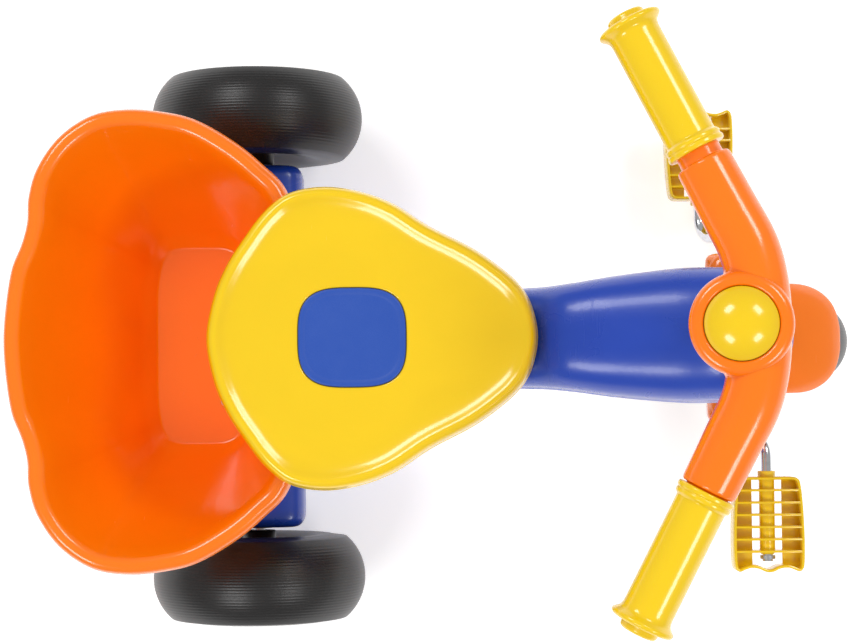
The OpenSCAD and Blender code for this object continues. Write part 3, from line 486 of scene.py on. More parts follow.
def dusty_grain_group():
    """Fine moulded grain with pale dust settled in it, for the tyres, the badge and bearings."""
    group = bpy.data.node_groups.new("dusty_grain", "ShaderNodeTree")
    socket(group, "Color", "NodeSocketColor", default=(0.02, 0.02, 0.02, 1))
    socket(group, "Dust Color", "NodeSocketColor", default=(0.3, 0.28, 0.25, 1))
    socket(group, "Dust", "NodeSocketFloat", default=0.1)
    socket(group, "Roughness", "NodeSocketFloat", default=0.4)
    socket(group, "Grain", "NodeSocketFloat", default=0.3)
    socket(group, "Grain Scale", "NodeSocketFloat", default=900.0)
    socket(group, "Color", "NodeSocketColor", "OUTPUT")
    socket(group, "Roughness", "NodeSocketFloat", "OUTPUT")
    socket(group, "Normal", "NodeSocketVector", "OUTPUT")
    n, link = group.nodes, group.links.new
    given = n.new("NodeGroupInput")
    out = n.new("NodeGroupOutput")
    place = n.new("ShaderNodeTexCoord")
    grain = n.new("ShaderNodeTexNoise")
    grain.inputs["Detail"].default_value = 3.0
    link(place.outputs["Object"], grain.inputs["Vector"])
    link(given.outputs["Grain Scale"], grain.inputs["Scale"])
    cloud = n.new("ShaderNodeTexNoise")
    cloud.inputs["Scale"].default_value = 22.0
    cloud.inputs["Detail"].default_value = 9.0
    cloud.inputs["Roughness"].default_value = 0.62
    link(place.outputs["Object"], cloud.inputs["Vector"])
    both = n.new("ShaderNodeMath")
    both.operation = "MULTIPLY"
    link(grain.outputs["Fac"], both.inputs[0])
    link(cloud.outputs["Fac"], both.inputs[1])
    spots = n.new("ShaderNodeMapRange")
    spots.inputs["From Min"].default_value = 0.2
    spots.inputs["From Max"].default_value = 0.42
    link(both.outputs[0], spots.inputs["Value"])
    amount = n.new("ShaderNodeMath")
    amount.operation = "MULTIPLY"
    link(spots.outputs["Result"], amount.inputs[0])
    link(given.outputs["Dust"], amount.inputs[1])
    dusted = n.new("ShaderNodeMix")
    dusted.data_type = "RGBA"
    link(amount.outputs[0], dusted.inputs["Factor"])
    link(given.outputs["Color"], dusted.inputs["A"])
    link(given.outputs["Dust Color"], dusted.inputs["B"])
    link(dusted.outputs["Result"], out.inputs["Color"])
    rough = n.new("ShaderNodeMath")
    rough.operation = "MULTIPLY_ADD"
    rough.inputs[1].default_value = 0.5
    rough.use_clamp = True
    link(amount.outputs[0], rough.inputs[0])
    link(given.outputs["Roughness"], rough.inputs[2])
    link(rough.outputs[0], out.inputs["Roughness"])
    bump = n.new("ShaderNodeBump")
    bump.inputs["Distance"].default_value = 0.0002
    link(given.outputs["Grain"], bump.inputs["Strength"])
    link(grain.outputs["Fac"], bump.inputs["Height"])
    link(bump.outputs["Normal"], out.inputs["Normal"])
    return group


def drawn_metal_group():
    """Drawn and plated rod: fine lines along it, dull spots in the plating."""
    group = bpy.data.node_groups.new("drawn_metal", "ShaderNodeTree")
    socket(group, "Color", "NodeSocketColor", default=(0.7, 0.7, 0.72, 1))
    socket(group, "Dull Color", "NodeSocketColor", default=(0.35, 0.33, 0.3, 1))
    socket(group, "Dullness", "NodeSocketFloat", default=0.3)
    socket(group, "Roughness", "NodeSocketFloat", default=0.15)
    socket(group, "Lines", "NodeSocketFloat", default=0.2)
    socket(group, "Color", "NodeSocketColor", "OUTPUT")
    socket(group, "Roughness", "NodeSocketFloat", "OUTPUT")
    socket(group, "Normal", "NodeSocketVector", "OUTPUT")
    n, link = group.nodes, group.links.new
    given = n.new("NodeGroupInput")
    out = n.new("NodeGroupOutput")
    place = n.new("ShaderNodeTexCoord")
    along = n.new("ShaderNodeMapping")
    along.inputs["Scale"].default_value = (900.0, 25.0, 900.0)
    link(place.outputs["Object"], along.inputs["Vector"])
    lines = n.new("ShaderNodeTexNoise")
    lines.inputs["Scale"].default_value = 1.0
    lines.inputs["Detail"].default_value = 2.0
    link(along.outputs["Vector"], lines.inputs["Vector"])
    cloud = n.new("ShaderNodeTexNoise")
    cloud.inputs["Scale"].default_value = 120.0
    cloud.inputs["Detail"].default_value = 6.0
    link(place.outputs["Object"], cloud.inputs["Vector"])
    spots = n.new("ShaderNodeMapRange")
    spots.inputs["From Min"].default_value = 0.52
    spots.inputs["From Max"].default_value = 0.75
    link(cloud.outputs["Fac"], spots.inputs["Value"])
    amount = n.new("ShaderNodeMath")
    amount.operation = "MULTIPLY"
    link(spots.outputs["Result"], amount.inputs[0])
    link(given.outputs["Dullness"], amount.inputs[1])
    dulled = n.new("ShaderNodeMix")
    dulled.data_type = "RGBA"
    link(amount.outputs[0], dulled.inputs["Factor"])
    link(given.outputs["Color"], dulled.inputs["A"])
    link(given.outputs["Dull Color"], dulled.inputs["B"])
    link(dulled.outputs["Result"], out.inputs["Color"])
    rough = n.new("ShaderNodeMath")
    rough.operation = "MULTIPLY_ADD"
    rough.inputs[1].default_value = 0.35
    rough.use_clamp = True
    link(amount.outputs[0], rough.inputs[0])
    link(given.outputs["Roughness"], rough.inputs[2])
    link(rough.outputs[0], out.inputs["Roughness"])
    bump = n.new("ShaderNodeBump")
    bump.inputs["Distance"].default_value = 0.0001
    link(given.outputs["Lines"], bump.inputs["Strength"])
    link(lines.outputs["Fac"], bump.inputs["Height"])
    link(bump.outputs["Normal"], out.inputs["Normal"])
    return group


MOULDED = moulded_skin_group()
GRAIN = dusty_grain_group()
DRAWN = drawn_metal_group()


def surface_material(name, group, values, constants):
    """A Principled material fed by one shader group; constants go straight on the shader."""
    material = bpy.data.materials.new(name)
    material.use_nodes = True
    nodes, link = material.node_tree.nodes, material.node_tree.links.new
    shader = nodes["Principled BSDF"]
    maker = nodes.new("ShaderNodeGroup")
    maker.node_tree = group
    for key, value in values.items():
        maker.inputs[key].default_value = value
    link(maker.outputs["Color"], shader.inputs["Base Color"])
    link(maker.outputs["Roughness"], shader.inputs["Roughness"])
    link(maker.outputs["Normal"], shader.inputs["Normal"])
    for key, value in constants.items():
        shader.inputs[key].default_value = value
    return material


def glossy_plastic(name, color, gloss=0.17, swirl=0.08, scuff=0.2, peel=0.1, coat=0.25):
    values = {"Color": (*color, 1), "Gloss": gloss, "Swirl": swirl, "Scuff": scuff, "Peel": peel}
    constants = {"Coat Weight": coat, "Coat Roughness": 0.06, "Subsurface Weight": 0.06,
                 "Subsurface Radius": (0.006, 0.003, 0.001), "Subsurface Scale": 0.4}
    return surface_material(name, MOULDED, values, constants)


def matt_plastic(name, color, dust_color, dust, roughness, grain, scale):
    values = {"Color": (*color, 1), "Dust Color": (*dust_color, 1), "Dust": dust,
              "Roughness": roughness, "Grain": grain, "Grain Scale": scale}
    return surface_material(name, GRAIN, values, {"Specular IOR Level": 0.5})


def plated_steel(name, color, roughness, dullness, lines):
    values = {"Color": (*color, 1), "Roughness": roughness, "Dullness": dullness, "Lines": lines}
    return surface_material(name, DRAWN, values, {"Metallic": 1.0})


orange_plastic = glossy_plastic("orange_moulding", (1.0, 0.20, 0.001))
yellow_plastic = glossy_plastic("yellow_moulding", (0.90, 0.60, 0.004))
blue_plastic = glossy_plastic("blue_moulding", (0.010, 0.055, 0.44), gloss=0.26, coat=0.1)
badge_plastic = matt_plastic("blue_badge_grain", (0.014, 0.075, 0.42), (0.1, 0.2, 0.6), 0.1, 0.42, 0.35,
                             1500.0)
tyre_plastic = matt_plastic("black_tyre_skin", (0.008, 0.007, 0.007), (0.16, 0.15, 0.14), 0.06, 0.36, 0.3,
                            700.0)
bearing_plastic = matt_plastic("grey_bearing", (0.16, 0.16, 0.17), (0.3, 0.3, 0.3), 0.15, 0.5, 0.3, 900.0)
bellows_rubber = matt_plastic("bellows_rubber", (0.07, 0.07, 0.075), (0.2, 0.2, 0.2), 0.2, 0.6, 0.4, 900.0)
chrome_rod = plated_steel("plated_crank_rod", (0.72, 0.73, 0.75), 0.12, 0.35, 0.15)
zinc_steel = plated_steel("zinc_fastener", (0.60, 0.61, 0.64), 0.28, 0.5, 0.3)

SLOT_MATERIALS = {
    "frame_plastic": blue_plastic, "badge_plastic": badge_plastic, "orange_plastic": orange_plastic,
    "yellow_plastic": yellow_plastic, "tyre_plastic": tyre_plastic, "bearing_plastic": bearing_plastic,
    "steel": zinc_steel, "chrome_rod": chrome_rod, "bellows_rubber": bellows_rubber,
}

# Every CAD node starts with the finish of its slot; the pieces below then take over the shapes
for part in frame["record"]["subparts"]:
    node = frame["nodes"][part["node"]]
    node.data.materials.clear()
    node.data.materials.append(SLOT_MATERIALS[part["material_slot"]])
    shade(node, 35)

# ------------------------------------------------------------------ seat


def seat_outline():
    low, high = span("seat")
    nose, rear, half = high[0], low[0], high[1]
    return closed_spline(
        mirrored([
            (nose, 0), (nose - 5, half * 0.21), (nose - 15, half * 0.35), (nose - 31, half * 0.47),
            (nose - 53, half * 0.595), (nose - 86, half * 0.735), (nose - 113, half * 0.88),
            (nose - 140, half * 0.966), (nose - 169, half), (rear + 66, half * 0.96),
            (rear + 46, half * 0.835), (rear + 29, half * 0.65), (rear + 16, half * 0.48),
            (rear + 6, half * 0.28), (rear, 0)]),
        5)


BADGE_ROUNDNESS = 3.2


def badge_outline(centre, half_l, half_w, outline):
    """A rounded outline with its points on the same bearings as the seat's outline."""
    bearing = np.arctan2(outline[:, 1], outline[:, 0] - centre)
    c, s = np.abs(np.cos(bearing)) / half_l, np.abs(np.sin(bearing)) / half_w
    radius = (c**BADGE_ROUNDNESS + s**BADGE_ROUNDNESS) ** (-1 / BADGE_ROUNDNESS)
    return np.stack([centre + radius * np.cos(bearing), radius * np.sin(bearing)], 1)


def make_seat():
    """A thin shell with a rolled crest, a steep inner slope and a shallow pan. Returns the pan's height."""
    low, high = span("seat")
    badge_low, badge_high = span("seat_badge")
    top, skirt = high[2], low[2]
    outline = seat_outline()
    centre = (badge_low[0] + badge_high[0]) / 2
    half_l = (badge_high[0] - badge_low[0]) / 2
    half_w = (badge_high[1] - badge_low[1]) / 2
    gap, slope_end, slope_drop, pan_drop, pocket_floor = 0.9, 34, 7.0, 8.0, badge_low[2]

    def pocket(shrink, z):
        return lift(badge_outline(centre, half_l - shrink, half_w - shrink, outline), z)

    profile = [
        (2.6, skirt), (0.6, skirt - 0.1), (0.0, skirt + 0.9), (0.0, skirt + 2.6), (0.9, skirt + 3.6),
        (1.0, skirt + 9),
        (1.8, top - 7), (2.8, top - 3.4), (4.6, top - 1.1), (7.2, top), (9.8, top - 0.6), (12, top - 1.9),
        (14.5, top - 3.3), (18, top - 4.6), (23, top - 5.8), (28, top - 6.5), (slope_end, top - slope_drop)]
    rings = [lift(inset(outline, d), z) for d, z in profile]
    pan_edge = inset(outline, slope_end)
    mouth = pocket(-gap, 0)[:, :2]
    for t in np.linspace(0.14, 1, 8):
        z = top - slope_drop - (pan_drop - slope_drop) * smooth_step(t)
        rings.append(lift(pan_edge + (mouth - pan_edge) * t, z))
    rings += [pocket(-gap + 0.5, top - pan_drop - 0.5), pocket(-gap + 0.6, pocket_floor + 0.2),
              pocket(1.5, pocket_floor), pocket(half_w * 0.4, pocket_floor),
              pocket(half_w * 0.8, pocket_floor)]
    # Underside, from the middle of the pan out to the skirt
    under = [(20, top - 13), (8, top - 12.6), (4.2, top - 11.5), (2.9, skirt + 2)]
    below = [pocket(half_w * 0.6, top - 13)] + [lift(inset(outline, d), z) for d, z in under]
    seat = skin("seat_shell", below + rings)
    subdivide(seat)
    shade(seat)
    finish_piece(seat, "frame", yellow_plastic, ["seat"])
    return top - pan_drop


def make_badge(pan_z):
    """Plain rounded inlay with a low rim; it carries no picture. It is relieved over the screws."""
    low, high = span("seat_badge")
    outline = seat_outline()
    centre = (low[0] + high[0]) / 2
    half_l, half_w = (high[0] - low[0]) / 2, (high[1] - low[1]) / 2
    heads = span("seat_screws")[1][2]
    top = pan_z + 0.9

    def ring(shrink, z):
        return lift(badge_outline(centre, half_l - shrink, half_w - shrink, outline), z)

    rings = [ring(25, heads + 0.1), ring(3, heads + 0.1), ring(2.6, low[2] + 0.1), ring(0.3, low[2] + 0.1),
             ring(0, low[2] + 0.5), ring(0.1, top - 0.7), ring(0.6, top - 0.15), ring(1.4, top),
             ring(4.2, top - 0.05), ring(5.0, top - 0.45), ring(6.0, top - 0.55), ring(12, top - 0.45),
             ring(20, top - 0.3), ring(30, top - 0.2)]
    badge = skin("badge_inlay", rings)
    shade(badge, 50)
    finish_piece(badge, "frame", badge_plastic, ["seat_badge"])


make_badge(make_seat())

# ------------------------------------------------------------------ basket

RIM_W = 17.0
BASKET_WALL = 3.0


def rim_outline(low, high):
    """Plan of the basket's rim: rounded front, side, corner lobe, notch and rear bulge."""
    front, rear, w = high[0], low[0], high[1]
    return closed_spline(
        mirrored([
            (front, 0), (front - 3, 60), (front - 20, w * 0.635), (front - 40, w * 0.76),
            (front - 64, w * 0.865),
            (front - 94, w * 0.956), (front - 121, w * 0.99), (front - 149, w), (rear + 69.5, w * 0.973),
            (rear + 44, w * 0.88), (rear + 26.5, w * 0.745), (rear + 19.5, w * 0.617),
            (rear + 18.5, w * 0.51),
            (rear + 14, w * 0.413), (rear + 6.5, w * 0.31), (rear + 2, w * 0.16), (rear, 0)]),
        5)


def make_basket():
    """A tub with sloping walls that carry the lobes of the rim down to the floor, and a rolled rim."""
    low, high = span("basket")
    rim = rim_outline(low, high)
    rear_h, front_h = high[2], high[2] - 27
    floor_z = low[2] + BASKET_WALL
    front, rear, half = high[0] - 58, high[0] - 148, 91.0
    mid, half_l = (front + rear) / 2, (front - rear) / 2
    rim_mid, rim_half = (low[0] + high[0]) / 2, (high[0] - low[0]) / 2
    bearing = np.arctan2(rim[:, 1] / high[1], (rim[:, 0] - rim_mid) / rim_half)
    # The floor's rear edge follows the rim's bulge and notches a little
    lobes = (rim - [rim_mid, 0]) / [rim_half, high[1]]
    reach = np.hypot(lobes[:, 0], lobes[:, 1])[:, None]
    floor = squircle(half_l, half, 4.5, bearing) * (0.90 + 0.10 * reach / reach.max()) + [mid, 0]

    def rim_z(plan):
        return rear_h + (front_h - rear_h) * (plan[:, 0] - low[0]) / (high[0] - low[0])

    def at_rim(d, drop):
        plan = inset(rim, d)
        return lift(plan, rim_z(plan) - drop)

    def at_floor(share, z):
        """The floor's outline shrunk towards its middle."""
        narrowing = half_l / half if share < 0.25 else 1.0
        return lift((floor - [mid, 0]) * [1 - share, 1 - share * narrowing] + [mid, 0], z)

    def wall(t, d):
        """The tub's wall, t = 0 at the floor and 1 under the rim, bowed slightly outward."""
        top = inset(rim, RIM_W - BASKET_WALL + d)
        base = inset(floor, d)
        plan = base + (top - base) * t**0.92
        return lift(plan, floor_z + (rim_z(top) - 6 - floor_z) * t)

    outside = [at_floor(0.9, low[2]), at_floor(0.3, low[2]), at_floor(0.12, low[2]),
               at_floor(0.05, low[2] + 0.8),
               at_floor(0.01, low[2] + 4)]
    outside += [wall(t, 0) for t in (0.09, 0.18, 0.3, 0.45, 0.6, 0.75, 0.88, 0.96)]
    rolled = [at_rim(RIM_W - 3.5, 8), at_rim(RIM_W - 6, 6), at_rim(BASKET_WALL + 2, 7),
              at_rim(BASKET_WALL, 10),
              at_rim(BASKET_WALL - 0.4, 13), at_rim(1.4, 14), at_rim(0.2, 13.2), at_rim(0, 11),
              at_rim(0.2, 8.4),
              at_rim(0.9, 7.4), at_rim(1.1, 5.0), at_rim(2.4, 2.3), at_rim(5.0, 0.5), at_rim(8.4, 0),
              at_rim(11.6, 0.8), at_rim(14.0, 2.6), at_rim(15.6, 5.2)]
    inside = [wall(t, BASKET_WALL) for t in (0.96, 0.9, 0.8, 0.68, 0.55, 0.42, 0.3, 0.2, 0.12, 0.07)]
    inside += [at_floor(0.085, floor_z + 2.4), at_floor(0.11, floor_z + 0.7), at_floor(0.15, floor_z + 0.1),
               at_floor(0.22, floor_z), at_floor(0.5, floor_z), at_floor(0.9, floor_z)]
    basket = skin("basket_tub", outside + rolled + inside)
    subdivide(basket)
    shade(basket)
    finish_piece(basket, "frame", orange_plastic, ["basket"])


make_basket()

# ------------------------------------------------------------------ wheels

RIB_PITCH = 2.5
RIB_DEPTH = 0.22


def tread_points(radius, width, tread_r, lowest):
    """Profile over the tread from one side wall to the other, with fine moulded ribs."""
    half = width / 2
    points = []
    for h in np.arange(-half + 2.5, half - 2.4, RIB_PITCH / 4):
        drop = tread_r - math.sqrt(tread_r**2 - h * h)
        fade = float(smooth_step((half - 4 - abs(h)) / 8))
        groove = RIB_DEPTH * fade * (0.5 - 0.5 * math.cos(2 * math.pi * h / RIB_PITCH))
        if radius - drop > lowest:
            points.append((radius - drop - groove, h))
    return points


def make_rear_wheel(side, name, body, node):
    low, high = span(node)
    radius = (high[2] - low[2]) / 2
    outer = max(abs(low[1]), abs(high[1]))
    inner_neck = min(abs(low[1]), abs(high[1]))
    width = 75.0
    middle = outer - width / 2
    bush_r, neck_r = 9.0, 14.5
    face = width / 2
    # Inner face: shallow dish with a raised ring, then the hub's neck
    inner = [(bush_r, inner_neck - middle), (neck_r - 1, inner_neck - middle),
             (neck_r, inner_neck - middle + 1),
             (neck_r, -face + 9), (neck_r + 3, -face + 12), (30, -face + 12.5), (38, -face + 9),
             (44, -face + 3.5), (52, -face + 1), (58, -face), (64, -face + 0.4), (69, -face + 1.6)]
    outer_side = [(69, face - 1.6), (64, face - 0.4), (58, face), (52, face - 1.2), (46, face - 4),
                  (40, face - 5), (36, face - 3.5), (32.5, face - 2.4), (30.2, face - 3), (30, face - 19.5),
                  (bush_r + 4.5, face - 20), (bush_r, face - 20)]
    profile = inner + tread_points(radius, width, 46.0, 71) + outer_side
    profile.append(profile[0])
    turn = Matrix.Rotation(-math.pi / 2 if side > 0 else math.pi / 2, 4, "X")
    place = Matrix.Translation(REAR_AXLE + Vector((0, side * middle * MM, 0))) @ turn
    wheel = turned(name, profile, place, 144)
    shade(wheel, 60)
    finish_piece(wheel, body, tyre_plastic, [node])


def make_front_wheel():
    low, high = span("front_wheel")
    radius, width = (high[2] - low[2]) / 2, high[1] - low[1]
    face = width / 2
    side_wall = [(17, face - 1.5), (33, face - 1.5), (34.5, face - 1.2), (36, face), (42, face + 0.1),
                 (46, face - 1.5), (52, face - 2.5), (58, face - 2), (63, face - 0.6), (67, face - 0.8),
                 (70, face - 1.8)]
    tread = tread_points(radius, width, 0.515 * width, 72)
    profile = [(r, -h) for r, h in side_wall] + tread + side_wall[::-1]
    place = Matrix.Translation(FRONT_AXLE) @ Matrix.Rotation(-math.pi / 2, 4, "X")
    wheel = turned("front_tyre", profile + [profile[0]], place, 144)
    shade(wheel, 60)
    finish_piece(wheel, "front_wheel_set", tyre_plastic, ["front_wheel"])


make_rear_wheel(1, "rear_tyre_left", "left_wheel", "rear_wheel_left")
make_rear_wheel(-1, "rear_tyre_right", "right_wheel", "rear_wheel_right")
make_front_wheel()


def make_hub_cap(side, name, body, node):
    """Domed cap with a stepped rim, pushed into the wheel's outer recess."""
    outer = max(abs(v) for v in (span(node)[0][1], span(node)[1][1]))
    cap = rounded([(26, -7.5), (29.6, -7.5), (29.6, -2.6), (28.4, -0.9), (22, -1.4), (20.5, 0.2), (13, 1.0),
                   (0.05, 1.2)],
                  [0.6, 0.8, 1.4, 1.2, 1.2, 5])
    inner = [(0.05, -2.2), (22, -3.0), (26, -4.5), (26, -7.5)]
    turn = Matrix.Rotation(-math.pi / 2 if side > 0 else math.pi / 2, 4, "X")
    place = Matrix.Translation(REAR_AXLE + Vector((0, side * (outer - 1.3) * MM, 0))) @ turn
    made = turned(name, list(map(tuple, cap)) + inner, place, 72)
    shade(made, 45)
    finish_piece(made, body, yellow_plastic, [node])


make_hub_cap(1, "hub_cap_left", "left_wheel", "rear_hub_cap_left")
make_hub_cap(-1, "hub_cap_right", "right_wheel", "rear_hub_cap_right")

# ------------------------------------------------------------------ frame body

BEAM_SIDES = 44


def head_span():
    """Bottom and top of the head tube along the steering axis, in mm above the front axle."""
    flange = 3.0
    return span("head_bush_lower", HEAD)[0][2] + flange, span("head_bush_upper", HEAD)[1][2] - flange


def beam_ring(x, z, half_w, half_h, rise):
    """Cross-section square to the beam's path."""
    angle = np.linspace(0, 2 * math.pi, BEAM_SIDES, endpoint=False)
    across, up = squircle(half_w, half_h, 3.0, angle).T
    # A moulded ledge runs along the flank
    ledge = 2.2 * smooth_step((-up / half_h - 0.05) / 0.1)
    across = across * (1 + ledge / half_w)
    s, c = math.sin(math.radians(rise)), math.cos(math.radians(rise))
    return np.stack([x - up * s, across, z + up * c], 1)


def make_frame_body():
    bottom, top = head_span()
    axle_x, axle_z = REAR_AXLE.x / MM, REAR_AXLE.z / MM
    body_high = span("main_body")[1]
    mid = (bottom + top) / 2
    head = HEAD @ Vector((0, 0, mid * MM)) / MM
    half_h = (top - bottom) / 2 - 2
    housing_z, housing_x = axle_z + 9, axle_x + 3
    seat_under = span("seat")[1][2] - 13
    skirt = span("seat")[0][2]
    stations = open_spline([
        (axle_x + 30, housing_z + 8, 56, 30, 52), (axle_x + 68, housing_z + 56, 48, 32, 52),
        (axle_x + 104, housing_z + 108, 42, 34, 42), (axle_x + 158, seat_under - 46, 40, 36, 10),
        (axle_x + 228, skirt - 39, 39.5, 34, 4), (axle_x + 262, head.z - 32, 42, 36, 7),
        (axle_x + 300, head.z - 22, 47.5, 39, 9), (head.x - 46, head.z - 7, 52, 44, 4),
        (head.x - 20, head.z, 52.5, half_h, -4), (head.x + 4, head.z + 1, 52, half_h, -6)], 5)
    rings = [beam_ring(*s) for s in stations]
    last = stations[-1]
    for a in (25, 45, 62, 76):
        s, c = math.sin(math.radians(a)), math.cos(math.radians(a))
        rings.append(beam_ring(last[0] + 29 * s, last[1], last[2] * c + 3, last[3] * (0.8 + 0.2 * c), -7.5))
    beam = skin("beam", rings)
    # Axle housing: a rounded crosswise box with softly closed ends
    half_len, depth, height = body_high[1], 38.0, 32.0
    angle = np.linspace(0, 2 * math.pi, BEAM_SIDES, endpoint=False)
    ends = [(half_len, 7), (half_len - 1.5, 3.5), (half_len - 5, 1), (half_len - 9, 0), (half_len - 70, 0),
            (0, 0)]
    stops = ends + [(-y, d) for y, d in ends[-2::-1]]
    housing = skin("housing", [
        np.column_stack([housing_x + q[:, 0], np.full(BEAM_SIDES, y), housing_z + q[:, 1]])
        for y, d in stops
        for q in [squircle(depth - d, height - d, 4.2, angle)]])
    # Pad that takes the seat's screws
    post_x, post_top = axle_x + 108, seat_under
    post = skin("seat_pad", [
        np.column_stack([post_x + q[:, 0], q[:, 1], np.full(BEAM_SIDES, z)])
        for z, grow in ((post_top - 60, 4), (post_top - 30, 2), (post_top - 3, 0), (post_top, -2))
        for q in [squircle(39 + grow, 42 + grow, 4, angle)]])
    bush_r = (span("head_bush_lower", HEAD)[1][1] - span("head_bush_lower", HEAD)[0][1]) / 2 - 7
    axle_place = Matrix.Translation(REAR_AXLE) @ Matrix.Rotation(-math.pi / 2, 4, "X")
    flat = 60.0
    body = blow_moulded(
        "frame_body", [beam, housing, post], 2.3, 5,
        bores=[(HEAD, bush_r + 0.05, bottom - flat, top + flat),
               (axle_place, 9.02, -half_len - 20, half_len + 20),
               (HEAD, 90.0, top, top + flat), (HEAD, 90.0, bottom - flat, bottom)])
    shade(body, 50)
    finish_piece(body, "frame", blue_plastic, ["main_body"])


make_frame_body()

# ------------------------------------------------------------------ fork and mudguard


def rounded_block(name, half_l, half_w, z_low, z_high, corner, centre=(0, 0), roundness=5.0):
    """An upright block in the head frame with a rounded plan and rounded ends."""
    angle = np.linspace(0, 2 * math.pi, 40, endpoint=False)
    rings = []
    for z, d in ((z_low, corner), (z_low + 0.3 * corner, 0.3 * corner), (z_low + corner, 0),
                 (z_high - corner, 0),
                 (z_high - 0.3 * corner, 0.3 * corner), (z_high, corner)):
        q = squircle(half_l - d, half_w - d, roundness, angle)
        rings.append(np.column_stack([centre[0] + q[:, 0], centre[1] + q[:, 1], np.full(len(q), z)]))
    return skin(name, rings)


def mudguard(guard_r, wall, front, back, half_w):
    """A domed strip that hugs the wheel, with a blunt rounded nose; front and back are in degrees."""
    outline_steps, half_steps = 44, 14
    rings = []
    for i in range(outline_steps):
        t = i / (outline_steps - 1)
        phi = math.radians(front + (back - front) * t)
        nose = np.clip(1 - t * (back - front) / 27, 0, 1)
        width = half_w * max(0.02, 1 - nose**3.2) ** 0.42
        shares = np.linspace(-1, 1, 2 * half_steps + 1)
        drop = 13 * np.abs(shares * width / half_w) ** 3.4
        c, s = math.cos(phi), math.sin(phi)
        outer = [((guard_r + wall - d) * c, v * width, (guard_r + wall - d) * s)
                 for v, d in zip(shares, drop)]
        inner = [((guard_r - d) * c, v * width, (guard_r - d) * s) for v, d in zip(shares, drop)]
        lip = wall / 2
        edge = [((guard_r + lip - drop[-1]) * c, width + lip * 0.8, (guard_r + lip - drop[-1]) * s)]
        far = [((guard_r + lip - drop[0]) * c, -width - lip * 0.8, (guard_r + lip - drop[0]) * s)]
        rings.append(np.array(outer + edge + inner[::-1] + far))
    return skin("guard", rings)


def make_fork():
    crown_top = span("fork", HEAD)[1][2]
    leg_outer = span("fork")[1][1]
    clamp = span("axle_clamp_left", HEAD)
    leg_t, leg_half = 27.0, 23.0
    leg_mid = leg_outer - leg_t / 2
    rod_r = 4.8
    wheel_clear = 107.0
    legs = []
    for side in (-1, 1):
        legs.append(rounded_block(f"leg{side}", leg_half, leg_t / 2, -leg_half, crown_top - 6, 7,
                                  (0, side * leg_mid)))
    crown = rounded_block("crown", leg_half, leg_outer, crown_top - 40, crown_top, 7, (0, 0), 4.5)
    boss = rounded_block("boss", leg_half + 3, leg_half + 6, crown_top - 40, crown_top + 0.5, 5, (0, 0), 2.4)
    # The wheel's space is cut out of the crown before everything is melted together
    bridge = join("bridge", [crown, boss])
    axle_place = Matrix.Rotation(-math.pi / 2, 4, "X")
    cutter = turned("cutter", [(0.01, -44), (wheel_clear, -44), (wheel_clear, 44), (0.01, 44)], axle_place,
                    96)
    cut = bridge.modifiers.new("space", "BOOLEAN")
    cut.operation = "DIFFERENCE"
    cut.object = cutter
    cut.solver = "EXACT"
    cut.use_self = True
    settle(bridge)
    bpy.data.objects.remove(cutter)
    guard = subdivide(mudguard(108.0, 4.0, 36.5, 124.0, 45.0))
    rod_place = HEAD @ Matrix.Rotation(-math.pi / 2, 4, "X")
    stem_low = span("steering_stem", HEAD)[0][2]
    stem_r = (span("steering_stem")[1][1] - span("steering_stem")[0][1]) / 2
    fork = blow_moulded(
        "fork_and_mudguard", legs + [bridge], 1.7, 4, HEAD,
        bores=[(rod_place, rod_r, -leg_outer - 5, leg_outer + 5), (HEAD, stem_r, stem_low, crown_top + 40)])
    # Open the lower half of each bearing for its clamp
    slot_half = (clamp[1][0] - clamp[0][0]) / 2 + 0.15
    for side in (-1, 1):
        box = box_piece("cutter", (-slot_half, side * leg_mid - 20, -40.0),
                        (slot_half, side * leg_mid + 20, 0.0))
        box.data.transform(HEAD)
        cut = fork.modifiers.new("slot", "BOOLEAN")
        cut.operation = "DIFFERENCE"
        cut.object = box
        cut.solver = "FAST"
        settle(fork)
        bpy.data.objects.remove(box)
    guard.data.transform(HEAD)
    fork = join("fork_and_mudguard", [fork, guard])
    shade(fork, 50)
    finish_piece(fork, "steering", orange_plastic, ["fork"])


make_fork()

# ------------------------------------------------------------------ handlebar


GRIP_GAPS = {1: 8.0, -1: 1.0}


def grip_frame(side):
    """Origin on the axis at the inner end of a grip, with Z running out along the arm."""
    node = frame["nodes"]["grip_left" if side > 0 else "grip_right"]
    points = np.array([v.co[:] for v in node.data.vertices])
    axis = Vector(np.linalg.svd(points - points.mean(0), full_matrices=False)[2][0])
    if axis.y * side < 0:
        axis = -axis
    along = (points - points.mean(0)) @ np.array(axis)
    start = Vector(points.mean(0)) + axis * along.min()
    across = STEER_AXIS.cross(axis).normalized()
    turn = Matrix((across, axis.cross(across), axis)).transposed().to_4x4()
    return Matrix.Translation(start) @ turn


def arm_frame(side):
    """The same axis, starting at the arm's shoulder."""
    return grip_frame(side) @ Matrix.Translation((0, 0, -GRIP_GAPS[side] * MM))


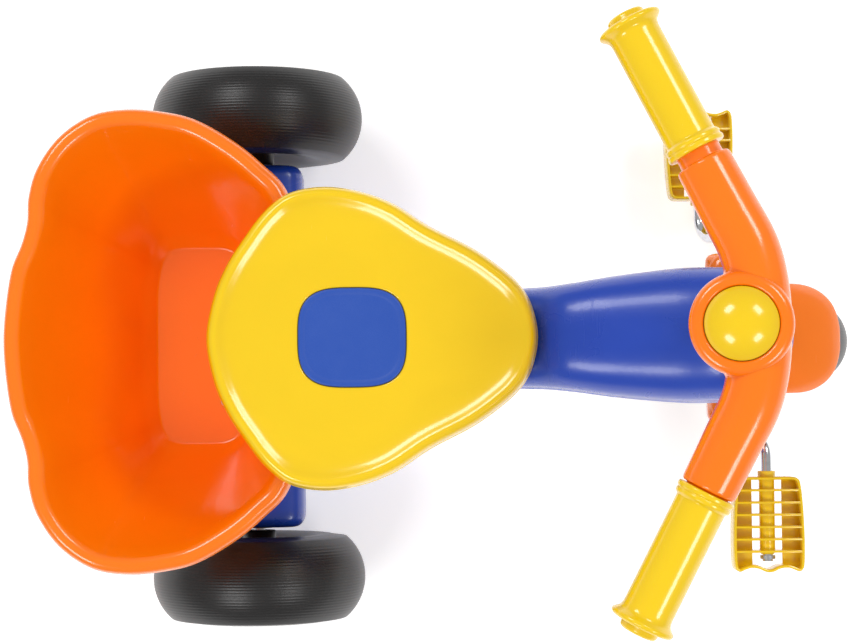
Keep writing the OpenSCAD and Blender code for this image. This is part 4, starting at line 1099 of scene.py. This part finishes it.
def make_handlebar():
    low, high = span("handlebar", HEAD)
    rim = high[2]
    arm_z = (HEAD.inverted() @ arm_frame(1).translation).z / MM
    shoulder = HEAD.inverted() @ arm_frame(1).translation / MM
    direction = (HEAD.to_3x3().inverted() @ arm_frame(1).to_3x3().col[2]).normalized()
    arm_r = 21.0
    pieces = []
    # Both arms in one sweep: bowed at the hub, straight beyond it
    inner = [(13.0, 0.0), (12.6, 20.0), (10.0, 40.0)]
    straight = [(shoulder.x - direction.x / direction.y * (shoulder.y - y), y) for y in (58.0, 80.0, 100.0)]
    end = (shoulder.x, shoulder.y)
    half = [(x, y, arm_z) for x, y in inner + straight + [end]]
    path = open_spline([(x, -y, z) for x, y, z in half[:0:-1]] + half, 6)
    reach = np.abs(path[:, 1]) / shoulder.y
    pieces.append(tube_along("arms", path, arm_r + 1.6 - 2.2 * reach, 48))
    column_low = low[2]
    column = rounded([(0.05, column_low), (29.5, column_low), (30.5, column_low + 30), (33, arm_z - 30),
                      (36.2, arm_z - 8), (36.4, rim - 12), (35.6, rim - 8.2), (0.05, rim - 8.2)],
                      [3, 20, 20, 12, 2, 1])
    pieces.append(turned("column", column, Matrix.Identity(4), 64))
    melted = join("melt", pieces)
    remesh = melted.modifiers.new("melt", "REMESH")
    remesh.mode = "VOXEL"
    remesh.voxel_size = 1.6 * MM
    soften = melted.modifiers.new("soften", "SMOOTH")
    soften.iterations = 7
    settle(melted)
    # Rolled ring round the horn button, with its well
    mouth_r, well_r, well_low = 26.4, 28.0, rim - 42.9
    ring = [(well_r - 6, well_low + 0.2), (well_r, well_low + 0.2), (well_r, rim - 7), (mouth_r, rim - 7),
            (mouth_r, rim - 1.4),
            (27.2, rim - 0.5), (28.6, rim - 0.1), (31, rim), (33.4, rim - 0.8), (35.2, rim - 2.4),
            (36.3, rim - 4.8),
            (36.7, rim - 8), (36.7, rim - 13), (36.2, rim - 15.5), (34.5, rim - 16), (34.5, well_low),
            (well_r - 6, well_low)]
    ring_piece = turned("ring", ring + [ring[0]], Matrix.Identity(4), 96)
    # Necks that carry the grips
    necks = []
    for side in (-1, 1):
        place = HEAD.inverted() @ arm_frame(side)
        gap = GRIP_GAPS[side]
        neck = rounded([(0.05, -6), (arm_r - 1.2, -6), (arm_r - 0.7, -3.4), (18.6, -0.2), (16.2, 0.3),
                        (16, gap),
                        (14, gap),
                        (14, gap + 100), (0.05, gap + 100)], [1, 1.5, 2.5, 0.5, 0.2, 0.2, 1])
        made = turned("neck", neck, place, 64)
        necks.append(made)
    # Cut the well through the melted hub
    cutter = turned("cutter",
                    [(0.01, well_low + 0.1), (30, well_low + 0.1), (30, rim + 20), (0.01, rim + 20)],
                    Matrix.Identity(4), 64)
    cut = melted.modifiers.new("well", "BOOLEAN")
    cut.operation = "DIFFERENCE"
    cut.object = cutter
    cut.solver = "FAST"
    settle(melted)
    bpy.data.objects.remove(cutter)
    stem = span("steering_stem", HEAD)
    stem_r = (stem[1][1] - stem[0][1]) / 2
    stem_top = stem[1][2]
    cutter = turned("cutter",
                    [(0.01, column_low - 5), (stem_r, column_low - 5), (stem_r, stem_top), (0.01, stem_top)],
                    Matrix.Identity(4), 64)
    cut = melted.modifiers.new("socket", "BOOLEAN")
    cut.operation = "DIFFERENCE"
    cut.object = cutter
    cut.solver = "FAST"
    settle(melted)
    bpy.data.objects.remove(cutter)
    bar = join("handlebar_moulding", [melted, ring_piece] + necks)
    bar.data.transform(HEAD)
    shade(bar, 50)
    finish_piece(bar, "steering", orange_plastic, ["handlebar"])


make_handlebar()


def make_grip(side, name, node):
    """Round grip: low double bead inside, plain body, thin outer flange and end plug."""
    high = span(node, grip_frame(side))[1]
    length = high[2] - 7
    body, bead, flange = 18.5, 21.4, 23.8
    profile = rounded([
        (14.1, 0), (20.6, 0), (bead, 1.0), (bead, 3.6), (20.1, 4.6), (20.8, 5.6), (20.8, 7.8), (19.2, 9.2),
        (body, 10),
        (body, 50), (body, length - 11), (19.4, length - 7.6), (21.6, length - 5.6), (flange, length - 3.6),
        (flange, length - 1.6), (22, length), (15.8, length + 0.3), (14.4, length + 0.8),
        (13.9, length + 4.6),
        (12.4, length + 6), (6, length + 6.7), (0.05, length + 6.8)],
        [0.6, 0.8, 1.0, 0.7, 0.6, 0.9, 0.9, 1.4, 3, 8, 6, 1.6, 0.9, 0.9, 0.9, 1.0, 0.6, 1.2, 1.4, 2], 4)
    bore = [(0.05, length - 4), (14.1, length - 4), (14.1, 0)]
    grip = turned(name, list(map(tuple, profile)) + bore, grip_frame(side), 72)
    shade(grip, 60)
    finish_piece(grip, "steering", yellow_plastic, [node])


make_grip(1, "grip_sleeve_left", "grip_left")
make_grip(-1, "grip_sleeve_right", "grip_right")


def make_horn_button():
    """Domed press button with a skirt and a retaining flange, hollow below."""
    low, high = span("horn_button", HEAD)
    top, bottom, r = high[2], low[2], 25.9
    rise = 12.0
    shoulder = top - rise
    sphere_r = (r * r + rise * rise) / (2 * rise)
    dome = [(r * math.sin(a), top - sphere_r + math.sqrt(sphere_r**2 - (r * math.sin(a)) ** 2))
            for a in np.linspace(0.002, math.pi / 2 * 0.97, 22)]
    skirt = [(r, shoulder - 0.6), (r, bottom + 3.0), (27.3, bottom + 3.0), (27.5, bottom + 2.6),
             (27.5, bottom),
             (23, bottom), (23, shoulder - 2), (18, shoulder + 3), (0.05, top - 4)]
    button = turned("horn_dome", dome + skirt, HEAD, 96)
    shade(button, 40)
    finish_piece(button, "button", yellow_plastic, ["horn_button"])


make_horn_button()

# ------------------------------------------------------------------ crank and pedals


def make_crank_rod():
    """One bent bar: through the wheel, out along each arm and through each pedal."""
    left, right = joint_place("left_pedal_turn"), joint_place("right_pedal_turn")
    low, high = span("crank_rod")
    middle = (low[1] + high[1]) / 2
    radius = 4.75
    arm_y, fork_bend, pedal_bend = 88.0, 9.5, 20.0
    axle = FRONT_AXLE / MM
    corners, bends = [], []
    for place, sign in ((left, 1), (right, -1)):
        x, z = place.x / MM, place.z / MM
        end_y = high[1] if sign > 0 else low[1]
        part = [(x, end_y, z), (x, middle + sign * arm_y, z), (axle.x, middle + sign * arm_y, axle.z)]
        corners += part if sign > 0 else part[::-1]
        bends += [pedal_bend, fork_bend] if sign > 0 else [fork_bend, pedal_bend]
    points = [np.array(c, float) for c in corners]
    path = [points[0]]
    for i, r in enumerate(bends, 1):
        back = points[i - 1] - points[i]
        ahead = points[i + 1] - points[i]
        back /= np.linalg.norm(back)
        ahead /= np.linalg.norm(ahead)
        hub = points[i] + (back + ahead) * r
        for t in np.linspace(0, math.pi / 2, 11):
            path.append(hub - ahead * r * math.cos(t) - back * r * math.sin(t))
    path.append(points[-1])
    rod = tube_along("crank_bar", path, radius, 28)
    shade(rod, 50)
    finish_piece(rod, "front_wheel_set", chrome_rod, ["crank_rod"])


make_crank_rod()

def make_pedal(side, name, body, node):
    """One moulding: a bowed rim with three lobes outside, cross ribs, side webs and the spindle tube."""
    joint = joint_place("left_pedal_turn" if side > 0 else "right_pedal_turn")
    low, high = span(node)
    collar = min(abs(low[1]), abs(high[1]))
    start, length = collar + 5, abs(high[1] - low[1]) - 5
    half_h, wall, ribs = (high[2] - low[2]) / 2, 2.5, 7
    half = [(0, 0), (20, 0), (25, 1.6), (27.2, 6), (28.8, 20), (29.8, 38), (30.2, 56), (29.8, length - 9),
            (28.6, length - 3), (25.4, length - 0.6), (20.5, length - 2.4), (15.5, length - 3.8),
            (9, length - 3), (4, length - 0.7), (0, length)]
    outline = closed_spline([(x, y) for x, y in half] + [(-x, y) for x, y in half[-2:0:-1]], 5)

    def hoop(d, z):
        return lift(inset(outline, d), z)

    edge = [(0, -half_h + 1.3), (0.4, -half_h + 0.4), (1.2, -half_h), (wall - 0.4, -half_h + 0.4),
            (wall, -half_h + 1.3), (wall, half_h - 1.3), (wall - 0.4, half_h - 0.4), (1.2, half_h),
            (0.4, half_h - 0.4), (0, half_h - 1.3), (0, -half_h + 1.3)]
    rim = skin("rim", [hoop(d, z) for d, z in edge], False, False)
    bars = []
    for i in range(1, ribs):
        y = i * (length - 8) / ribs
        reach = max(abs(x) for x, v in outline if abs(v - y) < 4) - 1.5
        bars.append(box_piece("rib", (-reach, y, -half_h + 0.6), (reach, y + 1.8, half_h - 0.6)))
    web_x, web_low, web_high = 12.8, -3.0, -0.5
    for hand in (-1, 1):
        plan = [(hand * web_x, 1.5)]
        plan += [(hand * x, y) for x, y in inset(outline, 1.4) if x > web_x]
        plan += [(hand * web_x, length - 4)]
        n = len(plan)
        verts = [(x, y, z) for z in (web_low, web_high) for x, y in plan]
        faces = [tuple(range(n)),
                 tuple(range(n, 2 * n))] + [(i, (i + 1) % n, n + (i + 1) % n, n + i) for i in range(n)]
        bars.append(new_object("web", verts, faces))
    tube_r, bore_r, tube_end = 6.7, 4.8, length - 15
    tube_profile = [(bore_r, -5), (7.1, -5), (7.5, -4.6), (7.5, 0.4), (tube_r, 1.2), (tube_r, tube_end - 4),
                    (5.9, tube_end - 0.4), (5.5, tube_end), (bore_r, tube_end), (bore_r, -5)]
    along_y = Matrix.Rotation(-math.pi / 2, 4, "X")
    bars.append(turned("tube", tube_profile, along_y, 40))
    pedal = join(name, [rim] + bars)
    bevel = pedal.modifiers.new("edges", "BEVEL")
    bevel.width = 0.35 * MM
    bevel.segments = 2
    bevel.limit_method = "ANGLE"
    bevel.angle_limit = math.radians(50)
    settle(pedal)
    # Mirrored for the right side, then set on its spindle
    pedal.data.transform(Matrix.Translation((joint.x, side * start * MM, joint.z)) @ Matrix.Scale(side, 4,
                                                                                                  (0, 1, 0)))
    if side < 0:
        pedal.data.flip_normals()
    shade(pedal, 40)
    finish_piece(pedal, body, yellow_plastic, [node])


make_pedal(1, "pedal_left_moulding", "left_pedal", "pedal_left")
make_pedal(-1, "pedal_right_moulding", "right_pedal", "pedal_right")
for node_name, slot_name in (("axle_clamp_left", "orange_plastic"), ("axle_clamp_right", "orange_plastic")):
    clamp_piece = soften_edges(node_name + "_moulding", node_name, 0.8)
    finish_piece(clamp_piece, "steering", orange_plastic, [node_name])
for node_name in ("front_hub_left", "front_hub_right"):
    hub_piece = soften_edges(node_name + "_moulding", node_name, 0.8)
    finish_piece(hub_piece, "front_wheel_set", yellow_plastic, [node_name])


def make_bellows():
    """The squeaker under the dome: a copy of the CAD part with its edges softened, riding on the steering."""
    bellows = soften_edges("horn_squeaker", "horn_bellows", 0.3)
    finish_piece(bellows, "steering", bellows_rubber, ["horn_bellows"])
    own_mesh(bellows)


make_bellows()

# ------------------------------------------------------------------ studio


def area_light(name, place, aim, size, power, tone=(1, 1, 1)):
    data = bpy.data.lights.new(name, "AREA")
    data.shape = "RECTANGLE"
    data.size, data.size_y = size
    data.energy = power
    data.color = tone
    light = bpy.data.objects.new(name, data)
    light.location = place
    light.rotation_euler = (Vector(aim) - Vector(place)).to_track_quat("-Z", "Y").to_euler()
    bpy.context.scene.collection.objects.link(light)


def make_studio():
    reach = 6000
    corners = [(-reach, -reach, -0.5), (reach, -reach, -0.5), (reach, reach, -0.5), (-reach, reach, -0.5)]
    floor = new_object("studio_floor", corners,
                       [(0, 1, 2, 3)])
    paper = bpy.data.materials.new("white_paper")
    paper.use_nodes = True
    paper.node_tree.nodes["Principled BSDF"].inputs["Base Color"].default_value = (0.95, 0.95, 0.95, 1)
    paper.node_tree.nodes["Principled BSDF"].inputs["Roughness"].default_value = 0.9
    paper.node_tree.nodes["Principled BSDF"].inputs["Emission Color"].default_value = (1, 1, 1, 1)
    paper.node_tree.nodes["Principled BSDF"].inputs["Emission Strength"].default_value = 0.45
    floor.data.materials.append(paper)
    world = bpy.data.worlds.new("studio_air")
    world.use_nodes = True
    world.node_tree.nodes["Background"].inputs["Color"].default_value = (1, 1, 1, 1)
    world.node_tree.nodes["Background"].inputs["Strength"].default_value = 0.44
    bpy.context.scene.world = world
    bpy.context.scene.view_settings.view_transform = "Standard"
    area_light("box_back_right", (-0.9, -1.15, 1.75), (0, 0, 0.25), (0.7, 0.5), 12)
    area_light("box_back_left", (-0.9, 1.15, 1.75), (0, 0, 0.25), (0.7, 0.5), 12)
    area_light("box_front_left", (1.15, 0.95, 1.75), (0.1, 0, 0.25), (0.6, 0.45), 9)
    area_light("box_front_right", (1.15, -0.95, 1.75), (0.1, 0, 0.25), (0.6, 0.45), 9)


make_studio()
